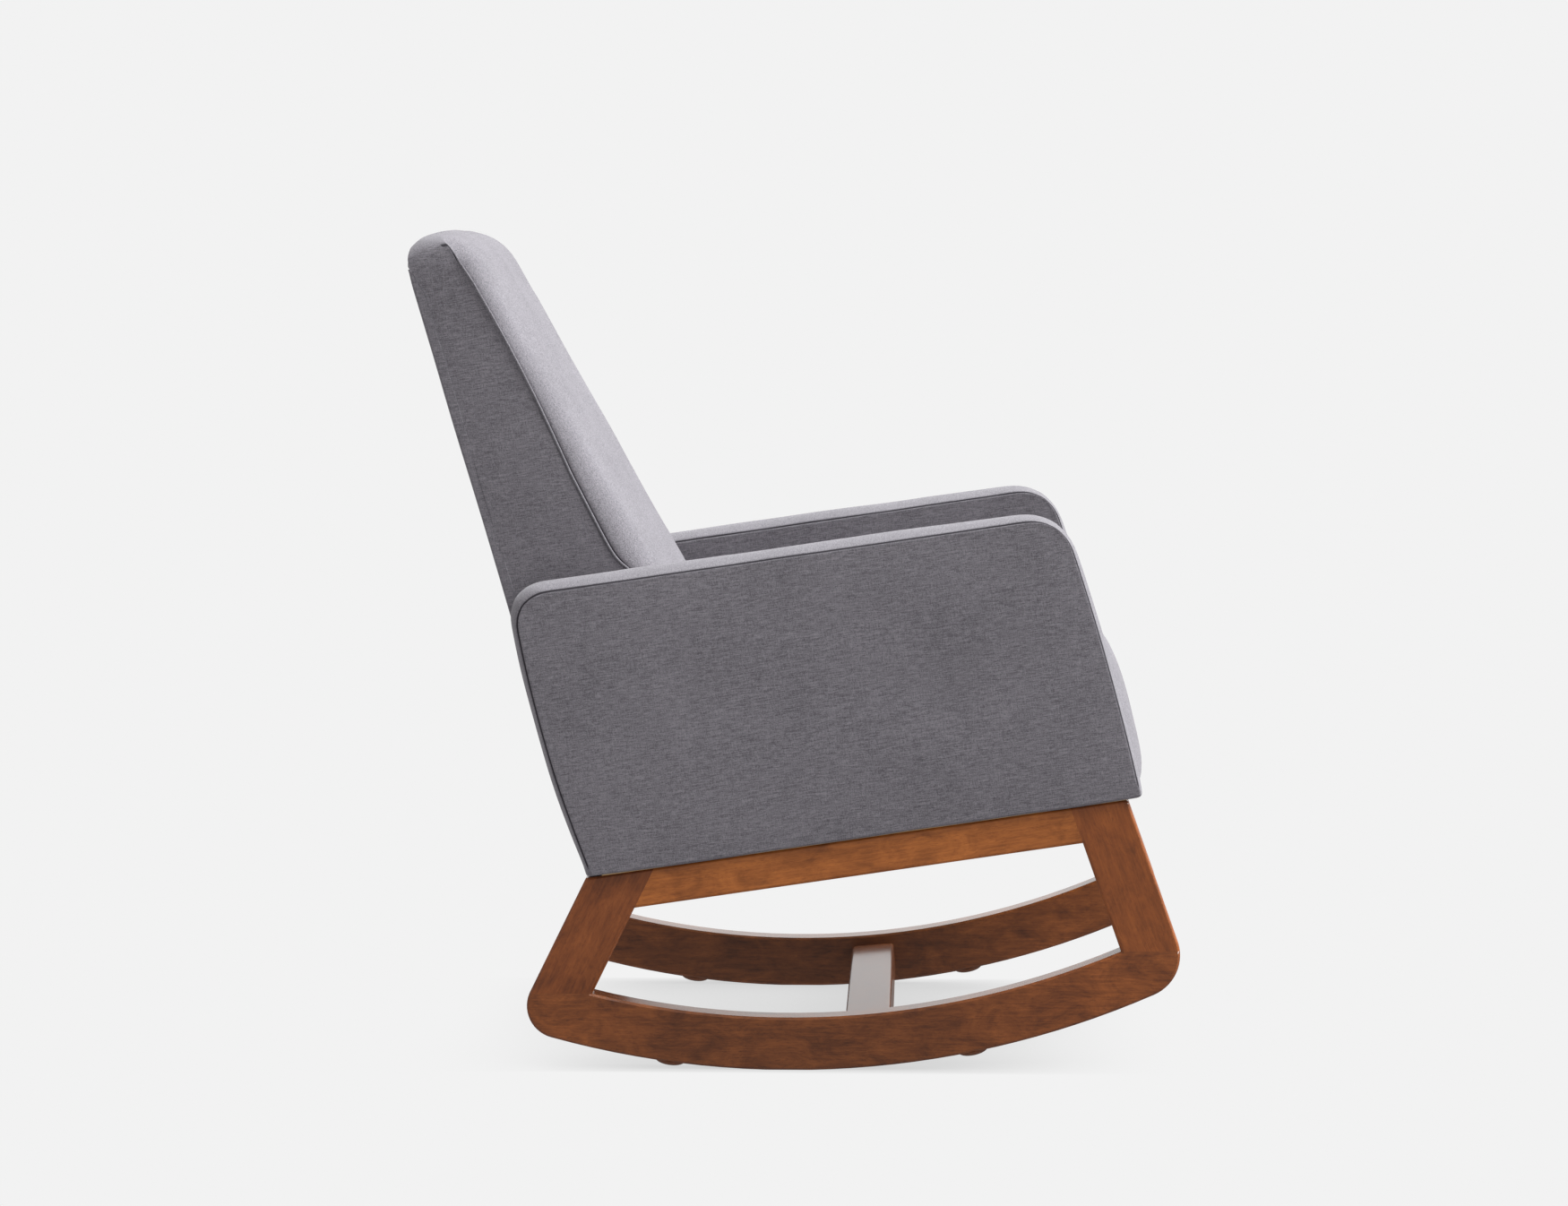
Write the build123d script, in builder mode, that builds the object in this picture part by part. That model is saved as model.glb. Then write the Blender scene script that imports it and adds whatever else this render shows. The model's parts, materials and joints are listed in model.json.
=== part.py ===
from build123d import *
from math import cos, pi, radians, sin, sqrt, tan
import os

# An upholstered rocking chair. Two flat rocker frames, each of a curved runner, two raking posts and a
# top rail, stand on the floor and carry a padded tub: two arm panels, a sprung seat and a tall raked back.
#
# Millimetres. +Z is up, the front faces -Y, and +X is the sitter's left. The origin is on the floor,
# under the middle of the chair's outline. The tub has its own tilted frame: x across the chair,
# u back along its underside and w square to its underside, zero where the tub sits on the rocker frames.

os.makedirs("parts", exist_ok=True)

# ---------------------------------------------------------------- rocker frames
RUNNER_RADIUS = 1013.0  # the curve that rolls on the floor
REST_FLAT = 50.0  # a short flat in that curve, where the chair stands still
ROCK_Y = 3.6  # the middle of the flat
RUNNER_DEPTH = 60.0
POST_WIDTH = 64.0
RAIL_DEPTH = 41.5
FRAME_THICKNESS = 38.0
FRAME_SPAN = 643.0  # over the outer faces of the two frames
REAR_RAKE = 26.1  # lean of the rear posts from the vertical
FRONT_RAKE = 19.5
REAR_FOOT_Y = 338.1  # where the posts' outer edges would reach the floor
FRONT_FOOT_Y = -487.4
REAR_TOE_RADIUS = 37.0
FRONT_TOE_RADIUS = 49.0
REAR_JOINT_Z = 86.0  # the posts stand on the runner's ends at these heights
FRONT_JOINT_Z = 137.0
CORNER_RADIUS = 6.0
ARRIS = 2.5  # eased edges of the frames
DOWEL_RADIUS = 4.0
DOWEL_LENGTH = 46.0
DOWEL_PITCH = 26.0
RAIL_DOWEL_PITCH = 18.0

STRETCHER_WIDTH = 52.0
STRETCHER_THICKNESS = 32.0
STRETCHER_DROP = 11.5  # its top lies this far below the runners' top edges
STRETCHER_ANGLE = 5.3  # forward of the rocking line, seen from the runners' centre
TENON = (30.0, 16.0, 18.0)  # width, thickness and length of its blind tenons

PAD_TIERS = ((18.0, -1.0), (17.0, 2.0), (12.5, 4.6), (5.0, 6.0))  # radius and height of the domed stops
PAD_FLATS = 16
PAD_ANGLES = (-7.6, 11.9)

# ---------------------------------------------------------------- tub
TILT = 8.5  # fall of the seat and arms to the rear
TUB_Z = 252.0  # height of the tub's underside over the origin
TUB_INSIDE = 488.0  # between the arm panels
ARM_THICKNESS = 86.0

ARM_REAR_FOOT = 235.0
ARM_REAR_TOP = (281.5, 336.4)
ARM_REAR_BULGE = 7.0  # how far the rear edge bows out of its chord
ARM_FRONT_TOP = (-360.0, 332.0)
ARM_FRONT_FOOT = -400.5
ARM_FRONT_BULGE = 3.4
ARM_REAR_CORNER = 36.0
ARM_FRONT_CORNER = 66.0
ARM_FOOT_CORNER = 5.0
ARM_CROWN = 8.0  # the padded edge band stands this far out of its two side seams
ARM_CROWN_WIDTH = 24.0
ARM_EDGE_PAD = 19.0  # padding over the edges of the arm's timber frame
ARM_FACE_PAD = 10.0
ARM_FRAME_GAP = 0.4
ARM_RAIL_HEIGHT = 45.0
ARM_STILE_WIDTH = 32.0
ARM_TOP_RAIL_HEIGHT = 36.0

SEAT_FRONT = -409.0  # the crown of the seat's padded front
SEAT_FRONT_BOW = 13.0
SEAT_NOSE = (-388.0, 186.0)
SEAT_FRONT_STRAIGHT = 45.0
SEAT_NOSE_RADIUS = 38.0
SEAT_CROWN = 9.0
SEAT_REAR = 150.0
SEAT_PAD_UNDERSIDE = 79.0
RAIL_THICKNESS = 25.0
SEAT_RAIL_HEIGHT = 70.0
SEAT_RAIL_FRONT = -381.0
SEAT_RAIL_REAR = 187.0
CORNER_BLOCK = 60.0
DUST_COVER = 1.0

SPRING_WIRE = 3.4
SPRING_ROWS = 4
SPRING_SPACING = 108.0
SPRING_BAR = 18.0
SPRING_PITCH = 36.0
SPRING_FIRST_BAR = -366.0
SPRING_BARS = 16
SPRING_HEIGHT = 3.5  # wire centre over the rails
CLIP_STRIP = 1.5
CLIP_HEIGHT = 7.0
CLIP_LENGTH = 16.0
CLIP_WIDTH = 14.0

BACK_WIDTH = 486.0
BACK_TOP = 743.0
BACK_REAR_U = 274.4  # the outside back, where its straight part begins
BACK_TUCK_W = 250.0
BACK_LEAN = 0.1385  # rise of u for each w along the outside back
BACK_TUCK = 0.0002  # the foot of the outside back curves in under this share
SEAM_U = 98.4  # the front seam of the side panels at the top of the seat
SEAM_W = 184.0
SEAM_LEAN = 0.3387
BACK_CROWN_LOW = 53.5  # how far the front pad stands out of its seams
BACK_CROWN_HIGH = 30.5
BACK_REAR_CORNER = 38.0
BACK_FRONT_CORNER = 58.0
BACK_TOP_CORNER = 55.0
BACK_PANEL = 11.0
BACK_PANEL_TOP = 698.0
BACK_SIDE_PAD = 12.0
BACK_FRONT_PAD = 3.0
STILE_THICKNESS = 18.0
STILE_TOP = 695.0
STRAP = 2.0
STRAP_WIDTH = 50.0
STRAP_HEIGHTS = (300.0, 390.0, 480.0, 570.0)

# ---------------------------------------------------------------- fasteners (M8)
FLATS = 12  # round rods and bores are drawn with this many flats
SHANK_RADIUS = 3.9
CLEARANCE_RADIUS = 4.5
HEX_RADIUS = 7.5
HEX_HEIGHT = 5.3
WASHER_RADIUS = 9.0
WASHER_THICKNESS = 2.0
COUNTERBORE = 10.0
COUNTERBORE_RADIUS = 10.0
INSERT_RADIUS = 5.5
INSERT_LENGTH = 15.0

ROCK_CENTRE = (ROCK_Y, sqrt(RUNNER_RADIUS**2 - (REST_FLAT / 2) ** 2))
FRAME_X = FRAME_SPAN / 2 - FRAME_THICKNESS / 2
FRAME_INSIDE = FRAME_SPAN / 2 - FRAME_THICKNESS
HALF_INSIDE = TUB_INSIDE / 2
tilt_sin = sin(radians(TILT))
tilt_cos = cos(radians(TILT))
REACH = 1200.0  # longer than anything that it cuts
SIDES = (("left", 1), ("right", -1))

TUB = Plane(origin=(0, 0, TUB_Z), x_dir=(1, 0, 0), z_dir=(0, tilt_sin, tilt_cos))


def tub_side(x):
    """Side view of the tub at x: local x is u, local y is w, and the plane faces +X."""
    return Plane(origin=(x, 0, TUB_Z), x_dir=(0, tilt_cos, -tilt_sin), z_dir=(1, 0, 0))


def tub_front(u):
    """Front view of the tub at u: local x is x, local y is w, and the plane faces the front."""
    return Plane(origin=TUB.from_local_coords((0, u, 0)), x_dir=(1, 0, 0), z_dir=(0, -tilt_cos, tilt_sin))


def finish(piece, name):
    piece.part.label = name
    export_step(piece.part, f"parts/{name}.step")
    print(name, len(piece.part.solids()), round(piece.part.volume / 1000), "cm3")


# ---------------------------------------------------------------- rocker frame geometry


def rear_edge(z, inset=0.0):
    rake = radians(REAR_RAKE)
    return (REAR_FOOT_Y - z * tan(rake) - inset / cos(rake), z)


def front_edge(z, inset=0.0):
    rake = radians(FRONT_RAKE)
    return (FRONT_FOOT_Y + z * tan(rake) + inset / cos(rake), z)


def under_tub(edge, inset, drop):
    """Where a post's edge, inset, crosses the line that runs drop below the tub's underside."""
    start = edge(0, inset)[0]
    lean = edge(1, inset)[0] - start
    fall = tan(radians(TILT))
    z = (TUB_Z - drop / tilt_cos - start * fall) / (1 + lean * fall)
    return edge(z, inset)


def runner_plane(angle, depth):
    """A plane at depth inside the runner's floor curve, square to its radius at angle, facing up."""
    radius = RUNNER_RADIUS - depth
    up = (0, sin(radians(angle)), cos(radians(angle)))
    origin = (0, ROCK_CENTRE[0] - radius * up[1], ROCK_CENTRE[1] - radius * up[2])
    return Plane(origin=origin, x_dir=(1, 0, 0), z_dir=up)


def whole_frame(x):
    """One rocker frame in a single piece, before it is parted at its joints."""
    below_floor = -50.0
    far = 600.0
    with BuildPart() as frame:
        with BuildSketch(Plane.YZ.offset(x)) as outline:
            with BuildLine():
                Polyline(
                    under_tub(rear_edge, 0, 0),
                    under_tub(front_edge, 0, 0),
                    front_edge(below_floor),
                    rear_edge(below_floor),
                    close=True,
                )
            make_face()
            with Locations(ROCK_CENTRE):
                Circle(RUNNER_RADIUS, mode=Mode.INTERSECT)
            Rectangle(2 * far, far, align=(Align.CENTER, Align.MIN), mode=Mode.INTERSECT)
            fillet(outline.vertices().sort_by(Axis.X)[-1], REAR_TOE_RADIUS)
            fillet(outline.vertices().sort_by(Axis.X)[0], FRONT_TOE_RADIUS)
            fillet(outline.vertices().sort_by(Axis.Y)[-1], CORNER_RADIUS)
        extrude(amount=FRAME_THICKNESS / 2, both=True)
        with BuildSketch(Plane.YZ.offset(x)):
            with BuildLine():
                Polyline(
                    under_tub(rear_edge, POST_WIDTH, RAIL_DEPTH),
                    under_tub(front_edge, POST_WIDTH, RAIL_DEPTH),
                    front_edge(below_floor, POST_WIDTH),
                    rear_edge(below_floor, POST_WIDTH),
                    close=True,
                )
            make_face()
            with Locations(ROCK_CENTRE):
                Circle(RUNNER_RADIUS - RUNNER_DEPTH, mode=Mode.INTERSECT)
        extrude(amount=FRAME_THICKNESS, both=True, mode=Mode.SUBTRACT)
        chamfer(frame.faces().filter_by(Axis.X).edges(), ARRIS)
    return frame.part


def joint_planes(x):
    """The four joints of the frame at x, each with its dowels along local z, and their pitch."""
    rear_y = (rear_edge(REAR_JOINT_Z)[0] + rear_edge(REAR_JOINT_Z, POST_WIDTH)[0]) / 2 - 4
    front_y = (front_edge(FRONT_JOINT_Z)[0] + front_edge(FRONT_JOINT_Z, POST_WIDTH)[0]) / 2
    along_rail = (0, tilt_cos, -tilt_sin)
    rear_rail = under_tub(rear_edge, POST_WIDTH, RAIL_DEPTH / 2)
    front_rail = under_tub(front_edge, POST_WIDTH, RAIL_DEPTH / 2)
    return {
        "rear_foot": (Plane(origin=(x, rear_y, REAR_JOINT_Z), x_dir=(1, 0, 0), z_dir=(0, 0, 1)), DOWEL_PITCH),
        "front_foot": (Plane(origin=(x, front_y, FRONT_JOINT_Z), x_dir=(1, 0, 0), z_dir=(0, 0, 1)), DOWEL_PITCH),
        "rear_rail": (Plane(origin=(x, *rear_rail), x_dir=(1, 0, 0), z_dir=along_rail), RAIL_DOWEL_PITCH),
        "front_rail": (Plane(origin=(x, *front_rail), x_dir=(1, 0, 0), z_dir=along_rail), RAIL_DOWEL_PITCH),
    }


def frame_piece(frame, zone):
    """The part of a rocker frame that lies inside a zone of the side view."""
    with BuildPart() as piece:
        add(frame)
        with BuildSketch(Plane.YZ):
            with BuildLine():
                Polyline(*zone, close=True)
            make_face()
        extrude(amount=FRAME_SPAN, both=True, mode=Mode.INTERSECT)
    return piece


def drill(places, radius, depth):
    """Holes from each place along its local z, in the part being built."""
    for place in places:
        with BuildSketch(place) as bore:
            RegularPolygon(radius, FLATS, major_radius=False)
        extrude(bore.sketch, amount=depth, mode=Mode.SUBTRACT)


def dowels(joints, clearance=0.0, mode=Mode.ADD):
    """Two dowels, or with a clearance their holes, across each joint."""
    for plane, pitch in joints:
        with BuildSketch(plane) as pair:
            with GridLocations(0, pitch, 1, 2):
                RegularPolygon(DOWEL_RADIUS + clearance, FLATS, major_radius=False)
        extrude(pair.sketch, amount=DOWEL_LENGTH / 2 + 10 * clearance, both=True, mode=mode)


def dowel_holes(joints):
    dowels(joints, 0.1, Mode.SUBTRACT)


# The rocker frames' bolts rise from counterbores under the top rails into the arm panels. The arm screws
# run out of the seat box into the arm panels, and the back screws run from the seat box into the back.
BASE_BOLT_U = (-240.0, 100.0)
ARM_SCREW_U = (-270.0, 60.0)
ARM_SCREW_W = 24.0
BACK_SCREW_X = (-120.0, 120.0)
BACK_SCREW_W = 36.0

base_bolt_seats = [
    Plane(
        origin=TUB.from_local_coords((side * FRAME_X, u, -RAIL_DEPTH + COUNTERBORE)),
        x_dir=(1, 0, 0),
        z_dir=TUB.z_dir,
    )
    for _, side in SIDES
    for u in BASE_BOLT_U
]
arm_screw_seats = [
    Plane(
        origin=TUB.from_local_coords((side * (HALF_INSIDE - RAIL_THICKNESS), u, ARM_SCREW_W)),
        x_dir=(0, 0, 1),
        z_dir=(side, 0, 0),
    )
    for _, side in SIDES
    for u in ARM_SCREW_U
]
back_screw_seats = [
    Plane(
        origin=TUB.from_local_coords((x, SEAT_RAIL_REAR - RAIL_THICKNESS, BACK_SCREW_W)),
        x_dir=(1, 0, 0),
        z_dir=TUB.y_dir,
    )
    for x in BACK_SCREW_X
]
BASE_INSERT_AT = RAIL_DEPTH - COUNTERBORE + 1
ARM_SCREW_LENGTH = RAIL_THICKNESS + ARM_FACE_PAD + 30.0
BACK_SCREW_LENGTH = 2 * RAIL_THICKNESS - 5.0
SCREW_BORE = SHANK_RADIUS + 0.1

# ---------------------------------------------------------------- the two rocker frames
for side_name, side in SIDES:
    frame = whole_frame(side * FRAME_X)
    joints = joint_planes(side * FRAME_X)
    far = 600.0
    inner_rear_foot = rear_edge(REAR_JOINT_Z, POST_WIDTH)
    inner_front_foot = front_edge(FRONT_JOINT_Z, POST_WIDTH)

    with frame_piece(
        frame,
        [
            (far, -far),
            (far, REAR_JOINT_Z),
            (0, REAR_JOINT_Z),
            (-2 * RUNNER_DEPTH, FRONT_JOINT_Z),
            (-far, FRONT_JOINT_Z),
            (-far, -far),
        ],
    ) as runner:
        dowel_holes([joints["rear_foot"], joints["front_foot"]])
        mortise = runner_plane(STRETCHER_ANGLE, RUNNER_DEPTH - STRETCHER_DROP - STRETCHER_THICKNESS / 2)
        with Locations(mortise):
            Box(2 * (FRAME_INSIDE + TENON[2]), TENON[0], TENON[1], mode=Mode.SUBTRACT)
    finish(runner, f"{side_name}_runner")

    with frame_piece(
        frame,
        [inner_rear_foot, rear_edge(far, POST_WIDTH), (far, far), (far, REAR_JOINT_Z)],
    ) as rear_post:
        dowel_holes([joints["rear_foot"], joints["rear_rail"]])
    finish(rear_post, f"{side_name}_rear_post")

    with frame_piece(
        frame,
        [inner_front_foot, front_edge(far, POST_WIDTH), (-far, far), (-far, FRONT_JOINT_Z)],
    ) as front_post:
        dowel_holes([joints["front_foot"], joints["front_rail"]])
    finish(front_post, f"{side_name}_front_post")

    with frame_piece(
        frame,
        [
            rear_edge(REAR_JOINT_Z + RUNNER_DEPTH, POST_WIDTH),
            rear_edge(REAR_JOINT_Z + 4 * RUNNER_DEPTH, POST_WIDTH),
            front_edge(FRONT_JOINT_Z + 4 * RUNNER_DEPTH, POST_WIDTH),
            front_edge(FRONT_JOINT_Z + RUNNER_DEPTH, POST_WIDTH),
        ],
    ) as top_rail:
        dowel_holes([joints["rear_rail"], joints["front_rail"]])
        drill(base_bolt_seats, CLEARANCE_RADIUS, RAIL_DEPTH)
        drill([seat.offset(-COUNTERBORE) for seat in base_bolt_seats], COUNTERBORE_RADIUS, COUNTERBORE)
    finish(top_rail, f"{side_name}_top_rail")

with BuildPart() as frame_dowels:
    for _, side in SIDES:
        dowels(joint_planes(side * FRAME_X).values())
finish(frame_dowels, "frame_dowels")

# ---------------------------------------------------------------- stretcher and rocking stops
with BuildPart() as stretcher:
    with Locations(runner_plane(STRETCHER_ANGLE, RUNNER_DEPTH - STRETCHER_DROP)):
        Box(2 * FRAME_INSIDE, STRETCHER_WIDTH, STRETCHER_THICKNESS, align=(Align.CENTER, Align.CENTER, Align.MAX))
    chamfer(stretcher.edges().filter_by(Axis.X), ARRIS)
    with Locations(runner_plane(STRETCHER_ANGLE, RUNNER_DEPTH - STRETCHER_DROP - STRETCHER_THICKNESS / 2)):
        Box(2 * (FRAME_INSIDE + TENON[2] - 1), TENON[0], TENON[1])
finish(stretcher, "stretcher")

with BuildPart() as stop_pads:
    for _, side in SIDES:
        for angle in PAD_ANGLES:
            for radius, height in PAD_TIERS:
                with BuildSketch(runner_plane(angle, -height)):
                    with Locations((side * FRAME_X, 0)):
                        RegularPolygon(radius, PAD_FLATS)
            loft(ruled=True)
    with Locations((0, *ROCK_CENTRE)):
        Cylinder(RUNNER_RADIUS, 2 * FRAME_SPAN, rotation=(0, 90, 0), mode=Mode.SUBTRACT)
finish(stop_pads, "stop_pads")

# ---------------------------------------------------------------- arm panels


def arm_sheet(x, inset=0.0, foot=0.0):
    """The arm panel's side outline at x, drawn down to w = foot. The cavity's outline is inset."""
    front_lean = (ARM_FRONT_TOP[0] - ARM_FRONT_FOOT) / ARM_FRONT_TOP[1]
    rear_lean = (ARM_REAR_TOP[0] - ARM_REAR_FOOT) / ARM_REAR_TOP[1]
    rear_foot = (ARM_REAR_FOOT + rear_lean * foot - inset, foot)
    rear_top = (ARM_REAR_TOP[0] - rear_lean * inset - inset, ARM_REAR_TOP[1] - inset)
    front_top = (ARM_FRONT_TOP[0] - front_lean * inset + inset, ARM_FRONT_TOP[1] - inset)
    front_foot = (ARM_FRONT_FOOT + front_lean * foot + inset, foot)
    rear_middle = ((rear_foot[0] + rear_top[0]) / 2 + ARM_REAR_BULGE, (rear_foot[1] + rear_top[1]) / 2)
    front_middle = ((front_foot[0] + front_top[0]) / 2 - ARM_FRONT_BULGE, (front_foot[1] + front_top[1]) / 2)
    with BuildSketch(tub_side(x)) as sheet:
        with BuildLine():
            ThreePointArc(rear_foot, rear_middle, rear_top)
            Line(rear_top, front_top)
            ThreePointArc(front_top, front_middle, front_foot)
            Line(front_foot, rear_foot)
        make_face()
        fillet(sheet.vertices().sort_by(Axis.Y)[-2], ARM_FRONT_CORNER - inset)
        fillet(sheet.vertices().sort_by(Axis.Y)[-1], ARM_REAR_CORNER - inset)
    return sheet.sketch


def arm_frame_piece(side, outline):
    """A timber of the arm's inner frame: its outline in the side view, as wide as the cavity."""
    with BuildPart() as timber:
        with BuildSketch(tub_side(side * (HALF_INSIDE + ARM_THICKNESS / 2))):
            with BuildLine():
                Polyline(*outline, close=True)
            make_face()
        extrude(amount=ARM_THICKNESS / 2 - ARM_FACE_PAD - ARM_FRAME_GAP, both=True)
    return timber


def arm_front(w, inset):
    lean = (ARM_FRONT_TOP[0] - ARM_FRONT_FOOT) / ARM_FRONT_TOP[1]
    return (ARM_FRONT_FOOT + ARM_EDGE_PAD + ARM_FRAME_GAP + w * lean + inset, w)


def arm_rear(w, inset):
    lean = (ARM_REAR_TOP[0] - ARM_REAR_FOOT) / ARM_REAR_TOP[1]
    return (ARM_REAR_FOOT - ARM_EDGE_PAD - ARM_FRAME_GAP + w * lean - inset, w)


ARM_TOP_RAIL_TOP = ARM_FRONT_TOP[1] - ARM_EDGE_PAD - ARM_FRAME_GAP
ARM_STILE_TOP = ARM_TOP_RAIL_TOP - ARM_TOP_RAIL_HEIGHT
# The top rail stops short of the cavity's rounded corners.
ARM_TOP_RAIL_END = 46.0

for side_name, side in SIDES:
    middle = side * (HALF_INSIDE + ARM_THICKNESS / 2)
    with BuildPart() as arm_pad:
        extrude(arm_sheet(middle, foot=-ARM_CROWN), amount=ARM_CROWN_WIDTH / 2, both=True)
        for way in (-1, 1):
            crown = arm_sheet(middle + way * ARM_CROWN_WIDTH / 2, foot=-ARM_CROWN)
            seam = arm_sheet(middle + way * ARM_THICKNESS / 2, ARM_CROWN, foot=-ARM_CROWN)
            loft([crown.face(), seam.face()], ruled=True)
        split(bisect_by=TUB, keep=Keep.TOP)
        chamfer(arm_pad.faces().filter_by(TUB).edges().sort_by(Axis.Y)[:3], ARM_FOOT_CORNER)
        extrude(
            arm_sheet(middle, ARM_EDGE_PAD, -ARM_EDGE_PAD),
            amount=ARM_THICKNESS / 2 - ARM_FACE_PAD,
            both=True,
            mode=Mode.SUBTRACT,
        )
        drill(arm_screw_seats, CLEARANCE_RADIUS, RAIL_THICKNESS + ARM_FACE_PAD)
    finish(arm_pad, f"{side_name}_arm_pad")

    with arm_frame_piece(
        side, [arm_rear(0, 0), arm_rear(ARM_RAIL_HEIGHT, 0), arm_front(ARM_RAIL_HEIGHT, 0), arm_front(0, 0)]
    ) as bottom_rail:
        drill([seat.offset(BASE_INSERT_AT - 1) for seat in base_bolt_seats], INSERT_RADIUS, INSERT_LENGTH + 1)
        drill(arm_screw_seats, SCREW_BORE, ARM_SCREW_LENGTH + 1)
    finish(bottom_rail, f"{side_name}_arm_bottom_rail")

    stiles = {
        "front_stile": [
            arm_front(ARM_RAIL_HEIGHT, 0),
            arm_front(ARM_STILE_TOP, 0),
            arm_front(ARM_STILE_TOP, ARM_STILE_WIDTH),
            arm_front(ARM_RAIL_HEIGHT, ARM_STILE_WIDTH),
        ],
        "rear_stile": [
            arm_rear(ARM_RAIL_HEIGHT, 0),
            arm_rear(ARM_STILE_TOP, 0),
            arm_rear(ARM_STILE_TOP, ARM_STILE_WIDTH),
            arm_rear(ARM_RAIL_HEIGHT, ARM_STILE_WIDTH),
        ],
        "top_rail": [
            arm_front(ARM_STILE_TOP, 0),
            arm_front(ARM_TOP_RAIL_TOP, ARM_TOP_RAIL_END),
            arm_rear(ARM_TOP_RAIL_TOP, ARM_TOP_RAIL_END),
            arm_rear(ARM_STILE_TOP, 0),
        ],
    }
    for stile_name, outline in stiles.items():
        finish(arm_frame_piece(side, outline), f"{side_name}_arm_{stile_name}")

# ---------------------------------------------------------------- seat box


def tub_box(x_range, u_range, w_range):
    """A square timber in the tub's frame."""
    size = [high - low for low, high in (x_range, u_range, w_range)]
    centre = [(high + low) / 2 for low, high in (x_range, u_range, w_range)]
    with BuildPart() as timber:
        with Locations(TUB * Pos(*centre)):
            Box(*size)
    return timber


rail_inside = HALF_INSIDE - RAIL_THICKNESS
rail_height = (0, SEAT_RAIL_HEIGHT)
front_rail_back = SEAT_RAIL_FRONT + RAIL_THICKNESS
rear_rail_front = SEAT_RAIL_REAR - RAIL_THICKNESS

finish(tub_box((-rail_inside, rail_inside), (SEAT_RAIL_FRONT, front_rail_back), rail_height), "seat_front_rail")

with tub_box((-rail_inside, rail_inside), (rear_rail_front, SEAT_RAIL_REAR), rail_height) as seat_rear_rail:
    drill(back_screw_seats, CLEARANCE_RADIUS, RAIL_THICKNESS)
finish(seat_rear_rail, "seat_rear_rail")

for side_name, side in SIDES:
    span = sorted((side * rail_inside, side * HALF_INSIDE))
    with tub_box(span, (SEAT_RAIL_FRONT, SEAT_RAIL_REAR), rail_height) as side_rail:
        drill(arm_screw_seats, CLEARANCE_RADIUS, RAIL_THICKNESS)
    finish(side_rail, f"seat_{side_name}_rail")

with BuildPart() as corner_blocks:
    with BuildSketch(TUB.offset(RAIL_THICKNESS / 2)):
        for _, side in SIDES:
            for corner_u, inward in ((front_rail_back, 1), (rear_rail_front, -1)):
                corner_x = side * rail_inside
                with BuildLine():
                    Polyline(
                        (corner_x, corner_u),
                        (corner_x - side * CORNER_BLOCK, corner_u),
                        (corner_x, corner_u + inward * CORNER_BLOCK),
                        close=True,
                    )
                make_face()
    extrude(amount=SEAT_RAIL_HEIGHT - RAIL_THICKNESS)
finish(corner_blocks, "corner_blocks")

# Zigzag springs: straight bars joined by half-round bends. The wire is drawn square, and each bend in three
# chords.
spring_rows = [(row - (SPRING_ROWS - 1) / 2) * SPRING_SPACING for row in range(SPRING_ROWS)]
spring_level = SEAT_RAIL_HEIGHT + SPRING_HEIGHT
last_bar = SPRING_FIRST_BAR + (SPRING_BARS - 1) * SPRING_PITCH

with BuildPart() as seat_springs:
    for row_x in spring_rows:
        path = []
        for bar in range(SPRING_BARS):
            way = 1 if bar % 2 == 0 else -1
            bar_u = SPRING_FIRST_BAR + bar * SPRING_PITCH
            bar_end = row_x + way * SPRING_BAR / 2
            path += [(row_x - way * SPRING_BAR / 2, bar_u), (bar_end, bar_u)]
            if bar < SPRING_BARS - 1:
                for turn in (-pi / 6, pi / 6):
                    bend = SPRING_PITCH / 2
                    path.append((bar_end + way * bend * cos(turn), bar_u + bend + bend * sin(turn)))
        with BuildLine(TUB.offset(spring_level)) as wire:
            Polyline(*path)
        with BuildSketch(Plane(origin=wire.line @ 0, x_dir=TUB.z_dir, z_dir=(1, 0, 0))):
            Rectangle(SPRING_WIRE, SPRING_WIRE)
        sweep(path=wire.line, transition=Transition.RIGHT)
finish(seat_springs, "seat_springs")

with BuildPart() as spring_clips:
    for row_x in spring_rows:
        for bar_u, way in ((SPRING_FIRST_BAR, 1), (last_bar, -1)):
            with BuildSketch(tub_side(row_x)):
                with Locations((bar_u, SEAT_RAIL_HEIGHT + CLIP_HEIGHT / 2)):
                    Rectangle(CLIP_LENGTH, CLIP_HEIGHT)
                with Locations((bar_u + way * CLIP_STRIP, SEAT_RAIL_HEIGHT + CLIP_HEIGHT / 2)):
                    Rectangle(CLIP_LENGTH, CLIP_HEIGHT - 2 * CLIP_STRIP, mode=Mode.SUBTRACT)
            extrude(amount=CLIP_WIDTH / 2, both=True)
finish(spring_clips, "spring_clips")

felt_foot = SEAT_RAIL_HEIGHT + CLIP_HEIGHT
finish(
    tub_box(
        (-HALF_INSIDE + 4, HALF_INSIDE - 4),
        (SEAT_RAIL_FRONT + 3, SEAT_REAR),
        (felt_foot, SEAT_PAD_UNDERSIDE),
    ),
    "spring_cover",
)

finish(
    tub_box(
        (-HALF_INSIDE + 4, HALF_INSIDE - 4),
        (SEAT_RAIL_FRONT + 3, SEAT_RAIL_REAR + RAIL_THICKNESS),
        (-DUST_COVER, 0),
    ),
    "dust_cover",
)

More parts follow.
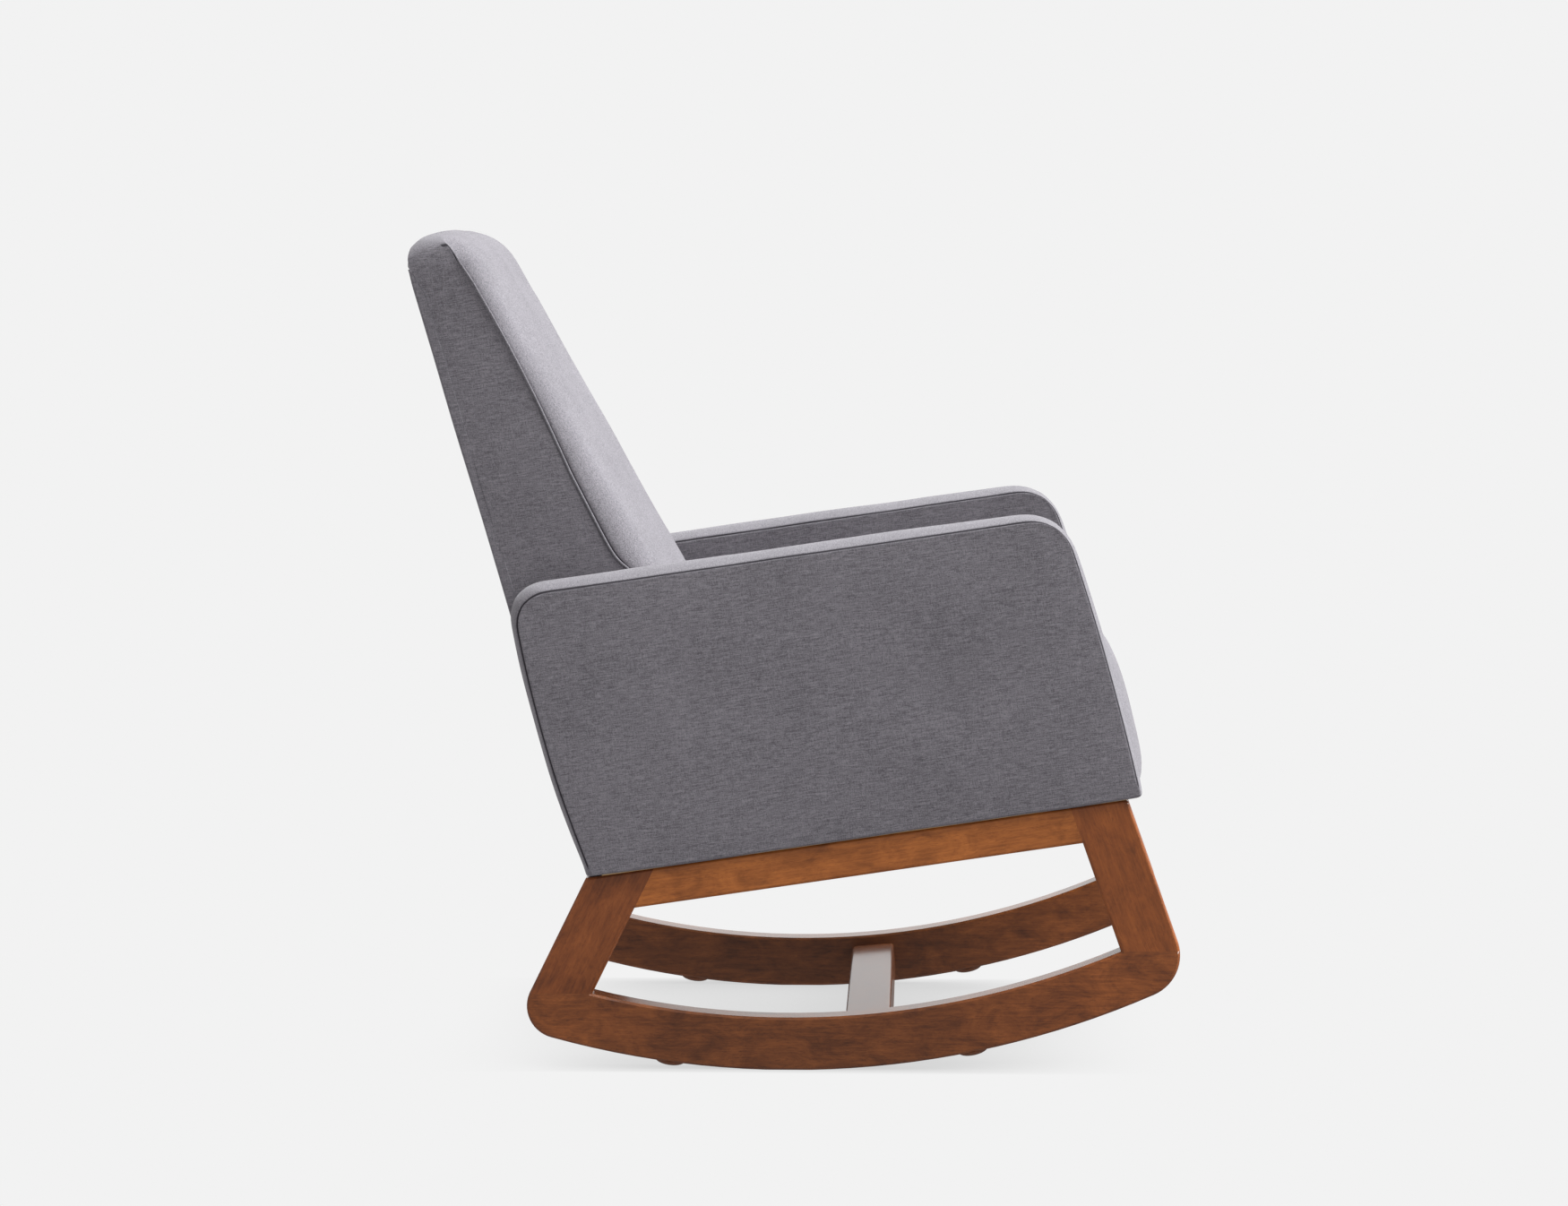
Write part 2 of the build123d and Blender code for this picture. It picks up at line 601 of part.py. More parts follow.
# The seat cushion is one pad with a waterfall front: three views of it, each drawn as a prism, meet.
with BuildPart() as seat_cushion:
    with BuildSketch(tub_side(0)) as side_view:
        with BuildLine():
            Polyline(
                (SEAT_FRONT, 2),
                (SEAT_FRONT, SEAT_FRONT_STRAIGHT),
                SEAT_NOSE,
                (SEAT_REAR, SEAT_NOSE[1]),
                (SEAT_REAR, SEAT_PAD_UNDERSIDE),
                (SEAT_RAIL_FRONT, SEAT_PAD_UNDERSIDE),
                (SEAT_RAIL_FRONT, 2),
                close=True,
            )
        make_face()
        fillet(side_view.vertices().sort_by(Axis.Y)[-2:].sort_by(Axis.X)[0], SEAT_NOSE_RADIUS)
    extrude(amount=HALF_INSIDE, both=True)
    with BuildSketch(TUB):
        with BuildLine():
            bow = SEAT_FRONT + SEAT_FRONT_BOW
            ThreePointArc((-HALF_INSIDE, bow), (0, SEAT_FRONT), (HALF_INSIDE, bow))
            Polyline((HALF_INSIDE, bow), (HALF_INSIDE, REACH), (-HALF_INSIDE, REACH), (-HALF_INSIDE, bow))
        make_face()
    extrude(amount=REACH, mode=Mode.INTERSECT)
    with BuildSketch(tub_front(0)):
        with BuildLine():
            shoulder = SEAT_NOSE[1] - SEAT_CROWN
            ThreePointArc((-HALF_INSIDE, shoulder), (0, SEAT_NOSE[1]), (HALF_INSIDE, shoulder))
            Polyline((HALF_INSIDE, shoulder), (HALF_INSIDE, -REACH), (-HALF_INSIDE, -REACH), (-HALF_INSIDE, shoulder))
        make_face()
    extrude(amount=REACH, both=True, mode=Mode.INTERSECT)
finish(seat_cushion, "seat_cushion")

# ---------------------------------------------------------------- back


def outside_back(w, inset=0.0):
    """A point on the outside back, or inset in front of it."""
    tuck = max(BACK_TUCK_W - w, 0)
    return (BACK_REAR_U + BACK_LEAN * (w - BACK_TUCK_W) - BACK_TUCK * tuck**2 - inset, w)


def front_seam(w, inset=0.0):
    """A point on the seam of the back's side panels, or inset behind it."""
    return (SEAM_U + SEAM_LEAN * (w - SEAM_W) + inset, w)


PILLOW_FLATS = 14
BACK_FOOT = SEAT_NOSE[1] + 0.5
half_back = BACK_WIDTH / 2
stile_face = BACK_FRONT_PAD + STRAP + 0.3

# The outside back is a padded board that closes the back from the floor of the tub to its top.
with BuildPart() as outside_back_panel:
    with BuildSketch(tub_side(0)):
        with BuildLine():
            for inset in (0, BACK_PANEL):
                foot = outside_back(0, inset)
                curve = outside_back(BACK_TUCK_W / 2, inset)
                knee = outside_back(BACK_TUCK_W, inset)
                ThreePointArc(foot, curve, knee)
                Line(knee, outside_back(BACK_PANEL_TOP, inset))
            Line(outside_back(0), outside_back(0, BACK_PANEL))
            Line(outside_back(BACK_PANEL_TOP), outside_back(BACK_PANEL_TOP, BACK_PANEL))
        make_face()
    extrude(amount=half_back, both=True)
finish(outside_back_panel, "outside_back_panel")

# The back's hood wraps the front, sides and top of the frame. Its front pad is a long pillow lofted
# between two half-oval sections square to the seams, drawn with a few flats, which the side and front
# outlines then trim.
seam_up = Vector(0, SEAM_LEAN, 1).normalized()


def back_crown(w):
    """How far the front pad's crown stands out of its seams at w, square to them."""
    return BACK_CROWN_LOW + (BACK_CROWN_HIGH - BACK_CROWN_LOW) * (w - BACK_FOOT) / (BACK_TOP - BACK_FOOT)


def pillow_plane(w):
    """Square to the front seams, where they pass w: local x across, local y forward."""
    origin = TUB.from_local_coords((0, *front_seam(w)))
    up = TUB.from_local_coords((seam_up.X, seam_up.Y, seam_up.Z)) - TUB.origin
    return Plane(origin=origin, x_dir=(-1, 0, 0), z_dir=up)


with BuildPart() as back_cushion:
    for w in (BACK_FOOT - 150, BACK_TOP + 100):
        with BuildSketch(pillow_plane(w)):
            with BuildLine():
                oval = [pi * flat / PILLOW_FLATS for flat in range(PILLOW_FLATS + 1)]
                Polyline(*[(half_back * cos(turn), back_crown(w) * sin(turn)) for turn in oval])
                Polyline((-half_back, 0), (-half_back, -REACH / 3), (half_back, -REACH / 3), (half_back, 0))
            make_face()
    loft(ruled=True)
    with BuildSketch(tub_side(0)) as side_view:
        with BuildLine():
            Polyline(
                outside_back(BACK_FOOT, BACK_PANEL + 1),
                outside_back(BACK_TUCK_W, BACK_PANEL + 0.2),
                outside_back(BACK_PANEL_TOP + 0.2, BACK_PANEL + 0.2),
                outside_back(BACK_PANEL_TOP + 0.2),
                outside_back(BACK_TOP),
                front_seam(BACK_TOP, -back_crown(BACK_TOP) / seam_up.Z),
                front_seam(BACK_FOOT, -back_crown(BACK_FOOT) / seam_up.Z),
                close=True,
            )
        make_face()
        fillet(side_view.vertices().sort_by(Axis.Y)[-2:].sort_by(Axis.X)[0], BACK_FRONT_CORNER)
        fillet(side_view.vertices().sort_by(Axis.X)[-1], BACK_REAR_CORNER)
    extrude(amount=REACH, both=True, mode=Mode.INTERSECT)
    with BuildSketch(tub_front(0)) as front_view:
        with Locations((0, BACK_TOP)):
            Rectangle(BACK_WIDTH, REACH, align=(Align.CENTER, Align.MAX))
        fillet(front_view.vertices().group_by(Axis.Y)[-1], BACK_TOP_CORNER)
    extrude(amount=REACH, both=True, mode=Mode.INTERSECT)
    with BuildSketch(tub_side(0)):
        with BuildLine():
            Polyline(
                outside_back(0, -1),
                outside_back(BACK_TUCK_W, -1),
                outside_back(STILE_TOP, -1),
                front_seam(STILE_TOP, BACK_FRONT_PAD),
                front_seam(0, BACK_FRONT_PAD),
                close=True,
            )
        make_face()
    extrude(amount=half_back - BACK_SIDE_PAD, both=True, mode=Mode.SUBTRACT)
finish(back_cushion, "back_cushion")

# Back frame: two wedge-shaped plywood stiles with a narrow foot behind the seat box, and three rails.
stile_outline = [
    (SEAT_RAIL_REAR, 0),
    outside_back(0, BACK_PANEL),
    outside_back(BACK_TUCK_W / 2, BACK_PANEL),
    outside_back(BACK_TUCK_W, BACK_PANEL),
    outside_back(STILE_TOP, BACK_PANEL),
    front_seam(STILE_TOP, stile_face),
    front_seam(BACK_FOOT + 1, stile_face),
    (SEAT_RAIL_REAR, BACK_FOOT + 1),
]
for side_name, side in SIDES:
    stile_middle = side * (half_back - BACK_SIDE_PAD - STILE_THICKNESS / 2)
    with BuildPart() as back_stile:
        with BuildSketch(tub_side(stile_middle)):
            with BuildLine():
                Polyline(*stile_outline, close=True)
            make_face()
        extrude(amount=STILE_THICKNESS / 2, both=True)
    finish(back_stile, f"back_{side_name}_stile")

between_stiles = half_back - BACK_SIDE_PAD - STILE_THICKNESS


def back_rail(outline):
    with BuildPart() as rail:
        with BuildSketch(tub_side(0)):
            with BuildLine():
                Polyline(*outline, close=True)
            make_face()
        extrude(amount=between_stiles, both=True)
    return rail


def rail_between(low, high, depth):
    return [
        outside_back(low, BACK_PANEL),
        outside_back(high, BACK_PANEL),
        outside_back(high, BACK_PANEL + depth),
        outside_back(low, BACK_PANEL + depth),
    ]


finish(back_rail(rail_between(STILE_TOP - 45, STILE_TOP, RAIL_THICKNESS)), "back_top_rail")
finish(back_rail(rail_between(BACK_TUCK_W, BACK_TUCK_W + 45, RAIL_THICKNESS)), "back_middle_rail")

with tub_box(
    (-between_stiles, between_stiles), (SEAT_RAIL_REAR, SEAT_RAIL_REAR + RAIL_THICKNESS), rail_height
) as bottom_rail:
    drill(back_screw_seats, SCREW_BORE, BACK_SCREW_LENGTH + 1)
finish(bottom_rail, "back_bottom_rail")

with BuildPart() as back_webbing:
    for w in STRAP_HEIGHTS:
        strap_plane = Plane(
            origin=TUB.from_local_coords((0, *front_seam(w, BACK_FRONT_PAD + STRAP / 2 + 0.15))),
            x_dir=(1, 0, 0),
            z_dir=TUB.from_local_coords((seam_up.X, seam_up.Y, seam_up.Z)) - TUB.origin,
        )
        with Locations(strap_plane):
            Box(2 * (half_back - BACK_SIDE_PAD - 1), STRAP * 0.9, STRAP_WIDTH)
finish(back_webbing, "back_webbing")

# ---------------------------------------------------------------- bolts, screws, washers and threaded inserts


def prism(plane, radius, height, flats=FLATS, bore=0.0):
    """A round rod or ring drawn with flats, standing on a plane."""
    with BuildSketch(plane) as section:
        RegularPolygon(radius, flats)
        if bore:
            RegularPolygon(bore, flats, major_radius=False, mode=Mode.SUBTRACT)
    extrude(section.sketch, amount=height)


def hex_fasteners(seats, reach, gap=0.0):
    """Hexagon heads that stand off their seats by gap, with shanks that reach past them."""
    with BuildPart() as fasteners:
        for seat in seats:
            prism(seat.offset(-gap), HEX_RADIUS, -HEX_HEIGHT, 6)
            prism(seat.offset(-gap), SHANK_RADIUS, reach + gap)
    return fasteners


finish(hex_fasteners(base_bolt_seats, BASE_INSERT_AT + INSERT_LENGTH, WASHER_THICKNESS), "base_bolts")
finish(hex_fasteners(arm_screw_seats, ARM_SCREW_LENGTH), "arm_screws")
finish(hex_fasteners(back_screw_seats, BACK_SCREW_LENGTH), "back_screws")

with BuildPart() as base_washers:
    for seat in base_bolt_seats:
        prism(seat, WASHER_RADIUS, -WASHER_THICKNESS, bore=SHANK_RADIUS + 0.3)
finish(base_washers, "base_washers")

with BuildPart() as base_inserts:
    for seat in base_bolt_seats:
        prism(seat.offset(BASE_INSERT_AT), INSERT_RADIUS, INSERT_LENGTH, bore=SHANK_RADIUS + 0.05)
finish(base_inserts, "base_inserts")
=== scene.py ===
# %% [markdown]
# # An upholstered rocking chair
# The chair is a padded tub that stands on two flat rocker frames of stained hardwood. The joinery comes in
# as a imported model, the frame that everything else is fitted to. The padding and every finish are made here.
# All lengths are metres, +Z is up and the front of the chair faces -Y.

# %% Load the frame
import json
import math

import bpy
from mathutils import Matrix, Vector, noise
from mathutils.bvhtree import BVHTree


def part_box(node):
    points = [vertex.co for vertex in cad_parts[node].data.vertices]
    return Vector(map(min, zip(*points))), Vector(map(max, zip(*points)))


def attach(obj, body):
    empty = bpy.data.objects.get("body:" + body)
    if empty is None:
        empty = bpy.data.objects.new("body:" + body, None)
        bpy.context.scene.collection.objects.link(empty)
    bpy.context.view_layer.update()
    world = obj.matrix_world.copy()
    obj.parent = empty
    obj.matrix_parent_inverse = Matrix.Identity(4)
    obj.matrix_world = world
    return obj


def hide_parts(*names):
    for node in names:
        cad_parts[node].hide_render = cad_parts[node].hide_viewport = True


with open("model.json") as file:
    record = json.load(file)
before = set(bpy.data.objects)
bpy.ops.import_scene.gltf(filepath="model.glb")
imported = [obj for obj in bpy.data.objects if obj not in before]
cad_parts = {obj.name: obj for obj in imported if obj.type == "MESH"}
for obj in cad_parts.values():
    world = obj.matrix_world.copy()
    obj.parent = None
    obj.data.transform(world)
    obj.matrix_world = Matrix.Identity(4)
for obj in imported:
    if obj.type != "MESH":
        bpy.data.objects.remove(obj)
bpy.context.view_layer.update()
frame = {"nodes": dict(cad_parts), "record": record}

print("nodes in the frame:", len(frame["nodes"]))

# %% [markdown]
# ## Camera
# A long lens from the side flattens the chair to its outline. A camera with a small pitch and yaw and no roll
# gives that view, so its place and two angles are all that is needed.

# %% Camera
CAMERA_PLACE = (-5.7615, -0.148, 0.9673)
CAMERA_PITCH = math.radians(4.603)
CAMERA_YAW = math.radians(1.643)
CAMERA_LENS = 111.9

camera_data = bpy.data.cameras.new("camera")
camera_data.lens = CAMERA_LENS
camera_data.sensor_width = 36.0
camera = bpy.data.objects.new("camera", camera_data)
bpy.context.collection.objects.link(camera)
camera.location = CAMERA_PLACE
camera.rotation_euler = (math.pi / 2 - CAMERA_PITCH, 0.0, -math.pi / 2 + CAMERA_YAW)
bpy.context.scene.camera = camera
print("camera lens", CAMERA_LENS, "mm")

# %% [markdown]
# ## The tub's own frame
# The arms, seat and back are set out on a plane that falls 8.5 degrees to the rear. It is easier to shape
# them in that plane's own directions: x across, u back along it and w square to it.

# %% The tub's frame
TILT = math.radians(8.5)
TUB_Z = 0.252


def tub(x, u, w):
    """The place of a point of the tub, in the chair's frame."""
    level, up = u * math.cos(TILT) + w * math.sin(TILT), w * math.cos(TILT)
    return Vector((x, level, TUB_Z - u * math.sin(TILT) + up))


def in_tub(place):
    """u and w of a place in the chair's frame."""
    up = place.z - TUB_Z
    return place.y * math.cos(TILT) - up * math.sin(TILT), place.y * math.sin(TILT) + up * math.cos(TILT)


print("the tub's corner over the front:", tuple(round(v, 3) for v in tub(0, -0.4, 0)))

# %% [markdown]
# ## Helpers for the padding
# Every pad of this chair has the same build: two side panels, and a band of cloth that runs round between
# them. A cube has the same layout, so each pad starts as a cube whose faces are cut into a grid. Its
# vertices then move to the pad's outlines. The grid keeps a loop of edges on each seam, which a
# remeshed shape would lose.


# %% A cube cut into a grid
def gridded_block(name, counts):
    """A unit cube with counts cells along x, y and z on its faces."""
    bpy.ops.object.select_all(action="DESELECT")
    bpy.ops.mesh.primitive_cube_add(size=1, location=(0.5, 0.5, 0.5))
    block = bpy.context.object
    block.name = name
    bpy.ops.object.transform_apply(location=True, rotation=False, scale=False)
    mesh = block.data
    bpy.context.tool_settings.mesh_select_mode = (False, True, False)
    for axis, count in enumerate(counts):
        bpy.ops.object.mode_set(mode="EDIT")
        bpy.ops.mesh.select_all(action="DESELECT")
        bpy.ops.object.mode_set(mode="OBJECT")
        for edge in mesh.edges:
            start, end = (mesh.vertices[index].co for index in edge.vertices)
            runs_along_axis = abs(start[axis] - end[axis]) > 0.5
            edge.select = runs_along_axis
        bpy.ops.object.mode_set(mode="EDIT")
        bpy.ops.mesh.subdivide(number_cuts=count - 1)
        bpy.ops.object.mode_set(mode="OBJECT")
    return block


print("a cube of 3 x 4 x 5 cells has", 2 * (3 * 4 + 4 * 5 + 5 * 3), "faces")


# %% Outlines with rounded corners
ARC_STEPS = 10
RUN_STEPS = 12


def corner_arc(before, corner, after, radius):
    """Points round a corner, from the side that comes in to the side that goes out."""
    inward = (before - corner).normalized()
    outward = (after - corner).normalized()
    half = inward.angle(outward) / 2
    reach = radius / math.tan(half)
    centre = corner + (inward + outward).normalized() * (radius / math.sin(half))
    start = corner + inward * reach - centre
    end = corner + outward * reach - centre
    turn = start.angle(end)
    points = []
    for step in range(ARC_STEPS + 1):
        share = step / ARC_STEPS
        of_start = math.sin(turn * (1 - share)) / math.sin(turn)
        of_end = math.sin(turn * share) / math.sin(turn)
        points.append(centre + start * of_start + end * of_end)
    return points


def outline(corners, radii, bows=(0, 0, 0, 0), shares=(0.5, 0.5, 0.5, 0.5)):
    """Four sides of a rounded outline: front upwards, top rearwards, rear upwards, foot rearwards.

    The corners are front foot, front top, rear top and rear foot. A side's bow is how far its middle stands
    out. Each corner's arc belongs to two sides, and shares says how much of it the side before it takes."""
    corners = [Vector(corner) for corner in corners]
    arcs = [corner_arc(corners[i - 1], corners[i], corners[(i + 1) % 4], radii[i]) for i in range(4)]
    sides = []
    for i in range(4):
        first, last = arcs[i], arcs[(i + 1) % 4]
        leave = round(shares[i] * (len(first) - 1))
        arrive = round(shares[(i + 1) % 4] * (len(last) - 1))
        start, end = first[-1], last[0]
        away = Vector(((start - end).y, (end - start).x)).normalized()
        inner = [k / RUN_STEPS for k in range(1, RUN_STEPS)]
        run = [start.lerp(end, share) + away * bows[i] * 4 * share * (1 - share) for share in inner]
        sides.append(first[leave:] + run + last[: arrive + 1])
    front, top, rear, foot = sides
    return {"front": front, "top": top, "rear": rear[::-1], "foot": foot[::-1]}


def along(path, share):
    """The point at a share of a path's length."""
    lengths = [(b - a).length for a, b in zip(path, path[1:])]
    left = share * sum(lengths)
    for start, end, length in zip(path, path[1:], lengths):
        if left <= length or end is path[-1]:
            return start.lerp(end, min(left / length, 1.0) if length else 0.0)
        left -= length


tile = outline(((0, 0), (0, 1), (1, 1), (1, 0)), (0.1, 0.1, 0.1, 0.1))
print("a rounded tile's top starts at", tuple(round(v, 3) for v in tile["top"][0]))


# %% Rows of cells
SEAM_CELL = 0.0018


def rows(length, count, lip=SEAM_CELL):
    """Shares of a length: a narrow cell at each end, beside the seams, and even ones between."""
    narrow = lip / length
    second = 3 * narrow
    inner = [second + (1 - 2 * second) * k / (count - 4) for k in range(count - 3)]
    return [0.0, narrow] + inner + [1 - narrow, 1.0]


print("the cells beside a seam are", SEAM_CELL * 1000, "mm wide")


# %% Shape a pad between its side outline and its middle outline
def grid(counts, u_length, w_length):
    """A pad's numbers of cells along x, u and w, its rows along u and its rows along w."""
    return counts, rows(u_length, counts[1]), rows(w_length, counts[2])


def spaced(sides, pad_grid):
    """Points along each side of an outline, at a pad's rows."""
    u_rows, w_rows = pad_grid[1:]
    return {
        key: [along(path, share) for share in (w_rows if key in ("front", "rear") else u_rows)]
        for key, path in sides.items()
    }


def even(u, w):
    """No narrowing: the pad is as wide everywhere."""
    return 0.0


def at_end(share):
    """Whether a share lies at 0 or at 1."""
    return min(share, 1 - share) < 0.001


def pad(name, half_width, centre_x, side, middle, crowns, pad_grid, narrowing=even):
    """A closed pad. side and middle are the outlines' points at its faces and at its centre.

    Each crown is a function of the share of the half width and the share of that side's length. It says
    how much of the middle outline shows there. narrowing says how much half width is lost at a point."""
    counts, u_rows, w_rows = pad_grid
    block = gridded_block(name, counts)
    corner = {(b, c): side["top" if c else "foot"][-b] for b in (0, 1) for c in (0, 1)}

    def place(a, b, c):
        i, j = round(b * counts[1]), round(c * counts[2])
        s, t = u_rows[i], w_rows[j]
        across = math.sin((a - 0.5) * math.pi)
        if at_end(a):
            flat = (
                side["foot"][i] * (1 - t) + side["top"][i] * t
                + side["front"][j] * (1 - s) + side["rear"][j] * s
                - corner[0, 0] * (1 - s) * (1 - t) - corner[1, 0] * s * (1 - t)
                - corner[0, 1] * (1 - s) * t - corner[1, 1] * s * t
            )
        else:
            if j in (0, counts[2]):
                key, index, share = "top" if j else "foot", i, s
            else:
                key, index, share = "rear" if i else "front", j, t
            flat = side[key][index].lerp(middle[key][index], crowns[key](abs(across), share))
        return tub(centre_x + across * (half_width - narrowing(flat.x, flat.y)), flat.x, flat.y)

    seam = block.data.attributes.new("panel_edge", "FLOAT", "POINT")
    for vertex in block.data.vertices:
        a, b, c = vertex.co
        on_edge = at_end(a) and (at_end(b) or at_end(c))
        seam.data[vertex.index].value = 1.0 if on_edge else 0.0
        vertex.co = place(a, b, c)
    print(name, "starts with", len(block.data.vertices), "vertices")
    return block


print("a panel 100 mm long with 8 cells has rows at", [round(share, 3) for share in rows(0.1, 8)])

# %% [markdown]
# ## Plumping and seams
# Foam pushes a cover out between its seams. Blender's cloth does the same when its seams are pinned and it
# is blown up a little. The movement is capped, because real foam is firm. After that each seam is pulled in
# by a loop of edges, which gives the groove where two panels are sewn together.

# %% Plump a pad with cloth
PRESSURE = 4.0
STIFFNESS = 15.0
CLOTH_FRAMES = 20


def panel_edge(vertex_index, mesh):
    """1 where two panels meet, and 0 elsewhere."""
    return mesh.attributes["panel_edge"].data[vertex_index].value


def plump(block, cap, sewn, held):
    """Blows the pad up. The seams that sewn picks out and the vertices that held picks out stay put.

    No vertex moves further than cap."""
    mesh = block.data
    before = [vertex.co.copy() for vertex in mesh.vertices]
    pinned = []
    for vertex in mesh.vertices:
        if held(vertex.co) or (panel_edge(vertex.index, mesh) > 0.5 and sewn(vertex.co)):
            pinned.append(vertex.index)
    block.vertex_groups.new(name="pinned").add(pinned, 1.0, "REPLACE")
    cloth = block.modifiers.new("cloth", "CLOTH")
    cloth.settings.quality = 5
    cloth.settings.mass = 0.3
    cloth.settings.tension_stiffness = STIFFNESS
    cloth.settings.compression_stiffness = STIFFNESS
    cloth.settings.bending_stiffness = 0.5
    cloth.settings.use_pressure = True
    cloth.settings.uniform_pressure_force = PRESSURE
    cloth.settings.vertex_group_mass = "pinned"
    cloth.settings.effector_weights.gravity = 0.0
    for step in range(1, CLOTH_FRAMES + 1):
        bpy.context.scene.frame_set(step)
    blown = block.evaluated_get(bpy.context.evaluated_depsgraph_get()).to_mesh()
    after = [vertex.co.copy() for vertex in blown.vertices]
    block.modifiers.remove(cloth)
    bpy.context.scene.frame_set(1)
    furthest = 0.0
    for vertex, old, new in zip(mesh.vertices, before, after):
        move = new - old
        if move.length > 0:
            vertex.co = old + move * (cap / (cap + move.length))
        furthest = max(furthest, (vertex.co - old).length)
    print(block.name, "plumped by up to", round(furthest * 1000, 1), "mm")


print("a cover is blown up for", CLOTH_FRAMES, "frames")


# %% Seams
SEAM_DEPTH = 0.0014
SEAM_LIP = 0.0006


def nowhere(place):
    """Picks out no seam."""
    return False


def everywhere(place):
    """Picks out every seam."""
    return True


def sew(block, sewn, butted=nowhere):
    """Pulls in the seam loops that sewn picks out, and keeps them sharp when the mesh is subdivided.

    The cloth is turned in along a seam, so it stands up a little in the next loop on either side. The edges
    that butted picks out are drawn against another pad, and stay square without a seam."""
    mesh = block.data
    normals = [vertex.normal.copy() for vertex in mesh.vertices]
    seam = mesh.attributes["panel_edge"]
    square = set()
    for vertex in mesh.vertices:
        if seam.data[vertex.index].value > 0.5 and not sewn(vertex.co):
            seam.data[vertex.index].value = 0.0
            if butted(vertex.co):
                square.add(vertex.index)
    pulled = {vertex.index for vertex in mesh.vertices if seam.data[vertex.index].value > 0.5}
    raised = set()
    crease = mesh.attributes.new("crease_edge", "FLOAT", "EDGE")
    for edge in mesh.edges:
        ends = pulled.intersection(edge.vertices)
        crease.data[edge.index].value = 1.0 if len(ends) == 2 or square.issuperset(edge.vertices) else 0.0
        if len(ends) == 1:
            raised.update(set(edge.vertices) - ends)
    for index in pulled:
        mesh.vertices[index].co -= normals[index] * SEAM_DEPTH
    for index in raised:
        mesh.vertices[index].co += normals[index] * SEAM_LIP


print("a seam lies", SEAM_DEPTH * 1000, "mm deep")


# %% A softened, slightly uneven surface
def select_only(piece):
    """Makes a piece the active object, and the only one that is selected."""
    bpy.ops.object.select_all(action="DESELECT")
    piece.select_set(True)
    bpy.context.view_layer.objects.active = piece


def modify(piece, kind, **settings):
    """Adds a modifier to a piece, with its settings, and applies it."""
    select_only(piece)
    modifier = piece.modifiers.new(kind, kind)
    for name, value in settings.items():
        setattr(modifier, name, value)
    bpy.ops.object.modifier_apply(modifier=modifier.name)


def soften(block, sewn, weight, repeats):
    """Smooths a pad as far as weight says, apart from its seams."""
    group = block.vertex_groups.new(name="softened")
    for vertex in block.data.vertices:
        if panel_edge(vertex.index, block.data) < 0.5 or not sewn(vertex.co):
            group.add([vertex.index], weight(vertex.co), "REPLACE")
    modify(block, "SMOOTH", factor=0.5, iterations=repeats, vertex_group=group.name)


def settle(block, depth, size, seed):
    """Uneven foam: the cover rises and falls by depth over lengths of about size, but not at its seams."""
    mesh = block.data
    normals = [vertex.normal.copy() for vertex in mesh.vertices]
    shift = Vector((seed * 3.7, seed * 1.3, seed * 2.1))
    for vertex in mesh.vertices:
        if panel_edge(vertex.index, mesh) < 0.5:
            vertex.co += normals[vertex.index] * depth * noise.noise(vertex.co / size + shift)


print("foam settles by noise, for instance", round(noise.noise(Vector((0.3, 0.5, 0.7))), 3))


# %% Finish a pad
def paint(piece, material):
    """Gives a piece one material, in place of any that it had."""
    piece.data.materials.clear()
    piece.data.materials.append(material)


def finish_pad(block, material, nodes):
    """Subdivides a pad, smooths its shading, paints it, and hides the nodes that it takes the place of."""
    modify(block, "SUBSURF", levels=1, render_levels=1)
    block.vertex_groups.clear()
    bpy.ops.object.mode_set(mode="EDIT")
    bpy.ops.mesh.select_all(action="SELECT")
    bpy.ops.mesh.normals_make_consistent(inside=False)
    bpy.ops.object.mode_set(mode="OBJECT")
    bpy.ops.object.shade_smooth()
    paint(block, material)
    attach(block, "root")
    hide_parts(*nodes)
    print(block.name, "has", len(block.data.polygons), "faces")


print("the padding's helpers are ready")

# %% [markdown]
# ## Materials
# Colours are given as the hex values that a paint or cloth sample is known by, and one function turns them
# to the linear values that the shader uses. Another adds a node, with its settings and what feeds it, so
# that each material reads from top to bottom. A node that feeds another gives the first of its outputs that
# is in use. A Mix of colours keeps its share in socket 0 and the colours in sockets 6 and 7.

# %% Colour and node helpers
def linear(code):
    """A colour such as #706c72 as linear red, green, blue and alpha."""
    channels = [int(code[i : i + 2], 16) / 255 for i in (1, 3, 5)]
    return tuple(c / 12.92 if c <= 0.04045 else ((c + 0.055) / 1.055) ** 2.4 for c in channels) + (1.0,)


def add_node(tree, kind, inputs=None, **settings):
    """Adds a node, sets its settings, and feeds its inputs with values, outputs or whole nodes."""
    made = tree.nodes.new(kind)
    for name, value in settings.items():
        setattr(made, name, value)
    for name, value in (inputs or {}).items():
        if isinstance(value, bpy.types.Node):
            value = next(output for output in value.outputs if output.enabled)
        if isinstance(value, bpy.types.NodeSocket):
            tree.links.new(value, made.inputs[name])
        else:
            made.inputs[name].default_value = value
    return made


def new_material(name):
    """A material with an empty node tree."""
    material = bpy.data.materials.new(name)
    material.use_nodes = True
    material.node_tree.nodes.clear()
    return material, material.node_tree


print("the cloth's grey is", [round(v, 3) for v in linear("#706c72")])

# %% [markdown]
# ## Upholstery cloth
# The cover is a mid-grey polyester weave of heathered yarn: each thread changes its grey along its length,
# so the cloth shows faint level streaks, and fainter upright ones where the other threads come up. The yarn
# is fluffy and scatters light at its edge, which is the sheen. A thread is about 0.7 mm, too fine to show,
# so the streaks are drawn 1.1 mm high. Along the seams the colour is painted darker: painted shade in their
# grooves.

# %% Cloth
THREAD = 0.0011
STREAK_LENGTH = 0.013
UPRIGHT_LENGTH = 0.007
PATCH = 0.11


